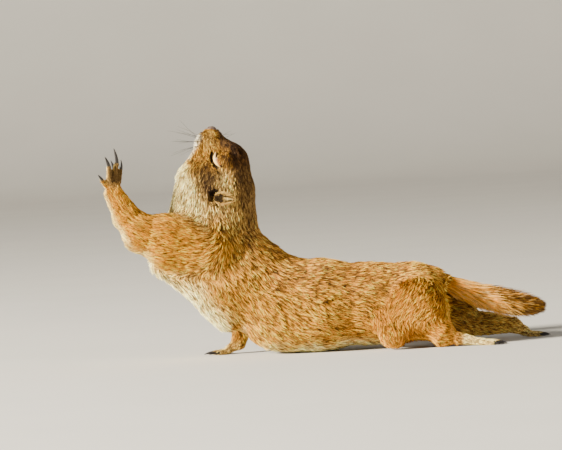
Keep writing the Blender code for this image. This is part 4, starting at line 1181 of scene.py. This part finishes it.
@dataclass(frozen=True)
class Brush:
    """The brush of the tail: long hair that leaves a slim core and lies back to a rounded end."""

    hairs: int = 10000
    reach: float = 0.27
    shares: tuple = (0.0, 0.14, 0.34, 0.53, 0.73, 0.88, 0.96, 1.0)
    halves: tuple = (6.0, 7.0, 9.0, 11.0, 11.8, 9.4, 5.6, 2.0)

    @staticmethod
    def middle(share: np.ndarray) -> np.ndarray:
        """Places down the middle of the tail: a cubic curve that sags and then levels out."""
        t = np.asarray(share, float)[..., None]
        ends = TAIL_ROOT * (1 - t) ** 3 + TAIL_TIP * t**3
        return ends + TAIL_SAG[0] * 3 * t * (1 - t) ** 2 + TAIL_SAG[1] * 3 * t**2 * (1 - t)

    @staticmethod
    def core(share: np.ndarray) -> np.ndarray:
        """Half the width of the solid core under the hair."""
        return (4.6 + 2.4 * (1 - share) ** 4) * (1 - 0.6 * share)

    def build(self) -> bpy.types.Object:
        """Grows the hair: rooted along the core, swept back, its tips inside the brush's outline.

        A hair rooted at share s and turn a runs to share s + reach, where it lies at most
        the outline's half width from the middle. Tips past the end stop a little short of it.
        """
        random = np.random.default_rng(SEED + 1)
        count = self.hairs
        share = random.random(count) ** 0.9 * 0.9 - 0.03
        turn = random.uniform(0, 2 * math.pi, count)
        spread = turn + random.normal(0, 0.16, count)
        end = share + self.reach * random.uniform(0.55, 1.1, count)
        end = np.where(end > 0.96, random.uniform(0.9, 1.0, count), end)
        end = np.maximum(end, share + 0.07)
        run = unit(self.middle(share + 0.01) - self.middle(share - 0.01))
        up = unit(np.array([0.0, 0, 1]) - run[:, 2:] * run)
        across = np.cross(run, up)
        out = up * np.sin(turn)[:, None] + across * np.cos(turn)[:, None]
        far = up * np.sin(spread)[:, None] + across * np.cos(spread)[:, None]
        root = self.middle(share) + out * (self.core(share) * 0.7)[:, None]
        half = np.interp(end, self.shares, self.halves) * random.uniform(0.35, 1.0, count) ** 0.6
        tips = self.middle(end) + far * (half * (1 + 0.1 * np.sin(9 * spread + 30 * share)))[:, None]
        span = tips - root
        way = unit(span)
        out = unit(out - dot(out, way)[:, None] * way)
        return dressed(Tufts(root, out, way, np.linalg.norm(span, axis=1), random.uniform(0.45, 0.85, count),
                             random.uniform(0.02, 0.16, count), *self.colours(tips, end, spread, random)
                             ).mesh("tail_brush", 2), Hair("tail_hair", 0.45).material(), "tail_hair")

    def colours(self, tips: np.ndarray, end: np.ndarray, turn: np.ndarray,
                random: np.random.Generator) -> tuple[np.ndarray, np.ndarray, np.ndarray]:
        """Root, middle and tip colours: gold streaked with cream, darkening at the end in the tail's own colour and
        along the top as painted shade.

        Args:
            tips: The hairs' tips.
            end: Their shares of the tail's length.
            turn: Their turns about its middle.
            random: The chance in each hair.
        Returns:
            The three colours of each hair.
        """
        count = len(tips)
        streak = np.sin(14 * turn + 3 * ripple(tips, 20.0, 12)) + random.normal(0, 0.8, count)
        gold = np.array(Shade.ORANGE.value) * np.clip(1.15 + 0.42 * streak, 0.2, 2.3)[:, None]
        # Painted shade: the top of the tail from the middle on. The darkening at the end is the tail's own colour.
        top = ramp(np.sin(turn), 0.1, 0.8) * ramp(end, 0.35, 0.65)
        dusk = np.clip(ramp(end + 0.05 * random.normal(size=count), 0.62, 0.9) + 0.8 * top, 0, 1)
        light = random.random(count) < 0.5 * (1 - 0.9 * dusk)
        black = (random.random(count) < 0.14 + 0.8 * dusk) & ~light
        mid = blended(gold * 0.7, Shade.BROWN.value, 0.8 * ramp(dusk, 0.2, 0.9))
        tip = blended(gold * 1.2, Shade.CREAM.value, np.where(light, 0.6, 0.08))
        # Dark roots: partly the hair's own banding, partly painted shade inside the brush.
        return gold * 0.22, mid, blended(tip, Shade.BLACK.value, np.where(black, 0.88, 0.0))


@dataclass(frozen=True)
class Ears:
    """The small cupped ears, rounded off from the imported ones."""

    levels: int = 2

    def build(self, markings: Markings) -> list[Surface]:
        """Makes both ears and returns their surfaces."""
        surfaces = []
        for label in ("left", "right"):
            rough = Surface.of(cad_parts[f"ear_{label}"])
            obj = raise_mesh(f"ear_flap_{label}", rough.points, rough.faces)
            modifier = obj.modifiers.new("round", "SUBSURF")
            modifier.levels = modifier.render_levels = self.levels
            smooth = Surface.of(obj.evaluated_get(bpy.context.evaluated_depsgraph_get()))
            bpy.data.objects.remove(obj)
            obj = raise_mesh(f"ear_flap_{label}", smooth.points, smooth.faces)
            # Painted shade: the flap under the ear's hair is darkened to three quarters.
            paint_points(obj, markings.ear(smooth.points, smooth.normals()) * 0.75)
            dressed(obj, Hide(f"ear_hide_{label}").material(), "coat_pale", f"ear_{label}")
            surfaces.append(smooth)
        return surfaces


@dataclass(frozen=True)
class Claws:
    """All the claws, each a curved, tapered horn."""

    radius: float = 1.2
    raised_radius: float = 1.45
    longer: float = 0.8
    sides: int = 12
    rows: int = 12

    def claw(self, name: str) -> bpy.types.Object:
        """One claw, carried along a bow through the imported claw's two ends.

        Its half width is radius * (1 - share ^ 2.2) ^ 0.6, and its middle is lifted off the
        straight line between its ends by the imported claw's own arch.

        Args:
            name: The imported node.
        Returns:
            The claw.
        """
        rough = Surface.of(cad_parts[name])
        middle = rough.points.mean(0)
        axis = np.linalg.eigh(np.cov((rough.points - middle).T))[1][:, 2]
        along = (rough.points - middle) @ axis
        low, high = along.min(), along.max()
        limb = min((LEFT_ARM[-1], RIGHT_ARM[-1], LEFT_LEG[-1], RIGHT_LEG[-1]),
                   key=lambda end: float(np.linalg.norm(middle - end)))
        ends = [rough.points[np.abs(along - end).argmin()] for end in (low, high)]
        start, end = sorted(ends, key=lambda spot: float(np.linalg.norm(spot - limb)))
        end = end + unit(end - start) * self.longer
        bow = rough.points[np.abs(along - (low + high) / 2) < 0.22 * (high - low)]
        crest = bow.mean(0) if len(bow) else middle
        share = np.concatenate([[0.0], np.linspace(0.04, 0.97, self.rows), [1.0]])[:, None]
        ctrl = 2 * crest - (start + end) / 2
        path = start * (1 - share) ** 2 + ctrl * 2 * share * (1 - share) + end * share**2
        inner = share[1:-1, 0]
        radius = self.raised_radius if "hand_left" in name else self.radius
        wide = radius * (1 - inner**2.2) ** 0.6
        up = unit(crest - (start + end) / 2 + np.array([0.0, 0.0, 1e-3]))
        points = swept(path, wide * 0.9, wide * 1.1, up, self.sides)
        return raise_mesh(f"{name}_horn", points, tube_faces(self.rows, self.sides))

    def build(self) -> None:
        """Makes and dresses every claw."""
        horn = Horn().material()
        for name in sorted(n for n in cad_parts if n.startswith("claw")):
            dressed(self.claw(name), horn, "claw_horn", name)


@dataclass(frozen=True)
class Features:
    """Nose, eyes, lids and whiskers."""

    face: Face = Face()
    whiskers: int = 9
    whisker_length: float = 30.0

    def nose(self) -> bpy.types.Object:
        """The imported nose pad, rounded off."""
        rough = Surface.of(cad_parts["nose"])
        obj = raise_mesh("nose_pad", rough.points, rough.faces)
        modifier = obj.modifiers.new("round", "SUBSURF")
        modifier.levels = modifier.render_levels = 2
        finish = Bare("nose_skin", Shade.PAD.value, linear(128, 108, 98), 0.36, 1800.0)
        return dressed(obj, finish.material(), "nose_skin", "nose")

    def lids(self, tree: BVHTree) -> None:
        """The bare rims of the lids, each a crescent swept along the slit and thickest midway."""
        pale = Bare("lid_skin", Shade.CREAM.value, Shade.TAN.value, 0.7, 1500.0).material()
        brown = Bare("lid_brown", Shade.AMBER.value, Shade.BROWN.value, 0.6, 1500.0).material()
        share = np.linspace(0, 1, 19)
        for side, label in ((-1, "left"), (1, "right")):
            for name, shift, size, finish, lift in (
                ("lower_lid", -1.5, 1.55, pale, 1.0), ("upper_lid", 0.3, 1.6, brown, 1.5)):
                line = self.face.slit(shift, -0.04, 1.04, 19)
                path = self.face.on_skin(tree, line, side, lift)
                path[:, 1] = np.polyval(np.polyfit(share, path[:, 1], 2), share)
                swell = np.sin(math.pi * np.linspace(0.03, 0.97, 17)) ** 0.8 * size
                points = swept(path, swell, swell * 0.9, np.array([0.0, float(side), 0.0]), 12)
                obj = raise_mesh(f"{name}_{label}", points, tube_faces(17, 12))
                dressed(obj, finish, "coat_pale")

    def eyes(self) -> None:
        """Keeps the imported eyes, wet and dark."""
        for label in ("left", "right"):
            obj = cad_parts[f"eye_{label}"]
            obj.data.materials.clear()
            obj.data.materials.append(Wet().material())

    def build_whiskers(self, tree: BVHTree) -> None:
        """Long tapered bristles, fanned from the whisker pads.

        Each follows root + heading * length * s + sag * s squared, and its half width
        falls from 0.13 mm to a point.
        """
        random = np.random.default_rng(SEED + 2)
        share = np.linspace(0, 1, 10)[:, None]
        finish = Hair("whisker", 0.35, 0.1).material()
        for side, label in ((-1, "left"), (1, "right")):
            meshes, tints = [], []
            for number in range(self.whiskers):
                row, rank = number % 3, number // 3
                root = self.face.on_skin(tree, np.array([[36.5 - 3.0 * row, -11.0 - 1.6 * rank]]), side)[0]
                heading = np.array([-0.85, 0.42 * side, 0.42 - 0.3 * row])
                if side > 0 and number % 2:
                    root = self.face.on_skin(tree, np.array([[35.0 - 2.0 * row, -3.0 - rank]]), side)[0]
                    heading = np.array([0.75, 0.6, 0.30 - 0.12 * row])
                heading = unit(heading + random.normal(0, 0.09, 3))
                length = self.whisker_length * random.uniform(0.7, 1.1)
                sag = np.array([0.0, 0.0, random.uniform(-4.0, 3.0)])
                path = root + heading * length * share + sag * share**2
                thin = 0.13 * (1 - share[1:-1, 0]) ** 0.7 + 0.02
                points = swept(path, thin, thin, np.array([0.1, 0.2, 1.0]), 5)
                meshes.append((points, tube_faces(8, 5)))
                tint = Shade.BLACK.value if number % 5 else Shade.UMBER.value
                tints.append(np.tile(np.array(tint), (len(points), 1)))
            obj = raise_mesh(f"whiskers_{label}", *joined(meshes))
            paint_points(obj, np.concatenate(tints))
            dressed(obj, finish, "coat")

    def build(self, skin: Surface) -> None:
        """Makes all of them."""
        tree = skin.tree()
        self.nose()
        self.lids(tree)
        self.eyes()
        self.build_whiskers(tree)


@dataclass(frozen=True)
class Studio:
    """The floor, the lights and the camera."""

    roll: float = math.radians(3.3)
    rise: float = math.radians(2.0)
    aim: tuple = (-0.0370, 0.0, 0.1091)
    distance: float = 4.0
    field: float = 0.4777
    sensor: float = 36.0

    def floor(self) -> None:
        """A floor that turns up into a backdrop: a line, a quarter circle and a line, swept sideways."""
        turn = np.linspace(0, math.pi / 2, 16)
        flat = np.linspace(-7000, 5200, 12)
        profile = np.concatenate([
            np.stack([flat, np.zeros_like(flat)], 1),
            np.stack([5200 + 1200 * np.sin(turn[1:]), 1200 - 1200 * np.cos(turn[1:])], 1),
            [[6400.0, 5200.0]],
        ])
        wide = np.linspace(-7000, 7000, 9)
        rows, columns = len(profile), len(wide)
        points = np.stack([
            np.tile(wide, rows), np.repeat(profile[:, 0], columns), np.repeat(profile[:, 1], columns)], 1)
        a = (np.arange(rows - 1)[:, None] * columns + np.arange(columns - 1)).ravel()
        faces = np.concatenate([
            np.stack([a, a + 1, a + columns + 1], 1), np.stack([a, a + columns + 1, a + columns], 1)])
        floor = raise_mesh("floor", points, faces)
        floor.data.materials.append(Plaster().material())

    def light(self, name: str, spot: tuple, size: float, power: float, colour: Colour) -> None:
        """A square soft light that faces the animal.

        Args:
            name: Its name.
            spot: Where it stands, in metres.
            size: Its side, in metres.
            power: Its power, in watts.
            colour: Its colour.
        """
        lamp = bpy.data.lights.new(name, "AREA")
        lamp.size, lamp.energy, lamp.color = size, power, colour
        obj = bpy.data.objects.new(name, lamp)
        back = unit(np.array(spot) - np.array(self.aim))
        side = unit(np.cross([0.0, 0, 1], back))
        turned = np.eye(4)
        turned[:3, :3] = np.stack([side, np.cross(back, side), back], 1)
        turned[:3, 3] = spot
        obj.matrix_world = Matrix(turned.tolist())
        bpy.context.scene.collection.objects.link(obj)

    def camera(self) -> None:
        """The camera: level with the animal, a little above, rolled, from its left side."""
        look = np.array([0.0, math.cos(self.rise), -math.sin(self.rise)])
        up = np.array([0.0, math.sin(self.rise), math.cos(self.rise)])
        right = np.array([1.0, 0.0, 0.0])
        turned = np.eye(4)
        turned[:3, 0] = right * math.cos(self.roll) - up * math.sin(self.roll)
        turned[:3, 1] = right * math.sin(self.roll) + up * math.cos(self.roll)
        turned[:3, 2] = -look
        turned[:3, 3] = np.array(self.aim) - look * self.distance
        lens = bpy.data.cameras.new("camera")
        lens.sensor_fit, lens.sensor_width = "HORIZONTAL", self.sensor
        lens.lens = self.sensor * self.distance / self.field
        lens.clip_end = 50.0
        obj = bpy.data.objects.new("camera", lens)
        obj.matrix_world = Matrix(turned.tolist())
        bpy.context.scene.collection.objects.link(obj)
        bpy.context.scene.camera = obj

    def build(self) -> None:
        """Sets all of them up."""
        self.floor()
        self.camera()
        self.light("key", (-4.12, -2.0, 1.9), 0.8, 1180.0, (1.0, 0.93, 0.77))
        self.light("fill", (0.0, -3.9, 0.7), 1.6, 12.0, (1.0, 0.94, 0.8))
        self.light("side", (3.2, -2.6, 0.9), 1.0, 80.0, (1.0, 0.93, 0.78))
        self.light("rim", (-2.4, 2.8, 2.6), 1.6, 10.0, (1.0, 0.96, 0.9))
        world = bpy.data.worlds.new("air")
        world.use_nodes = True
        world.node_tree.nodes["Background"].inputs[0].default_value = (0.92, 0.89, 0.84, 1.0)
        world.node_tree.nodes["Background"].inputs[1].default_value = 0.14
        bpy.context.scene.world = world


def main() -> None:
    """Builds the whole look, piece by piece."""
    logging.basicConfig(level=logging.INFO, format="%(message)s")
    markings = Markings()
    Studio().build()
    surface = Skin().surface()
    Skin().build(surface, markings)
    ears = Ears().build(markings)
    Coat().build(surface, markings, ears)
    Brush().build()
    Claws().build()
    Features().build(surface)


if __name__ == "__main__":
    main()
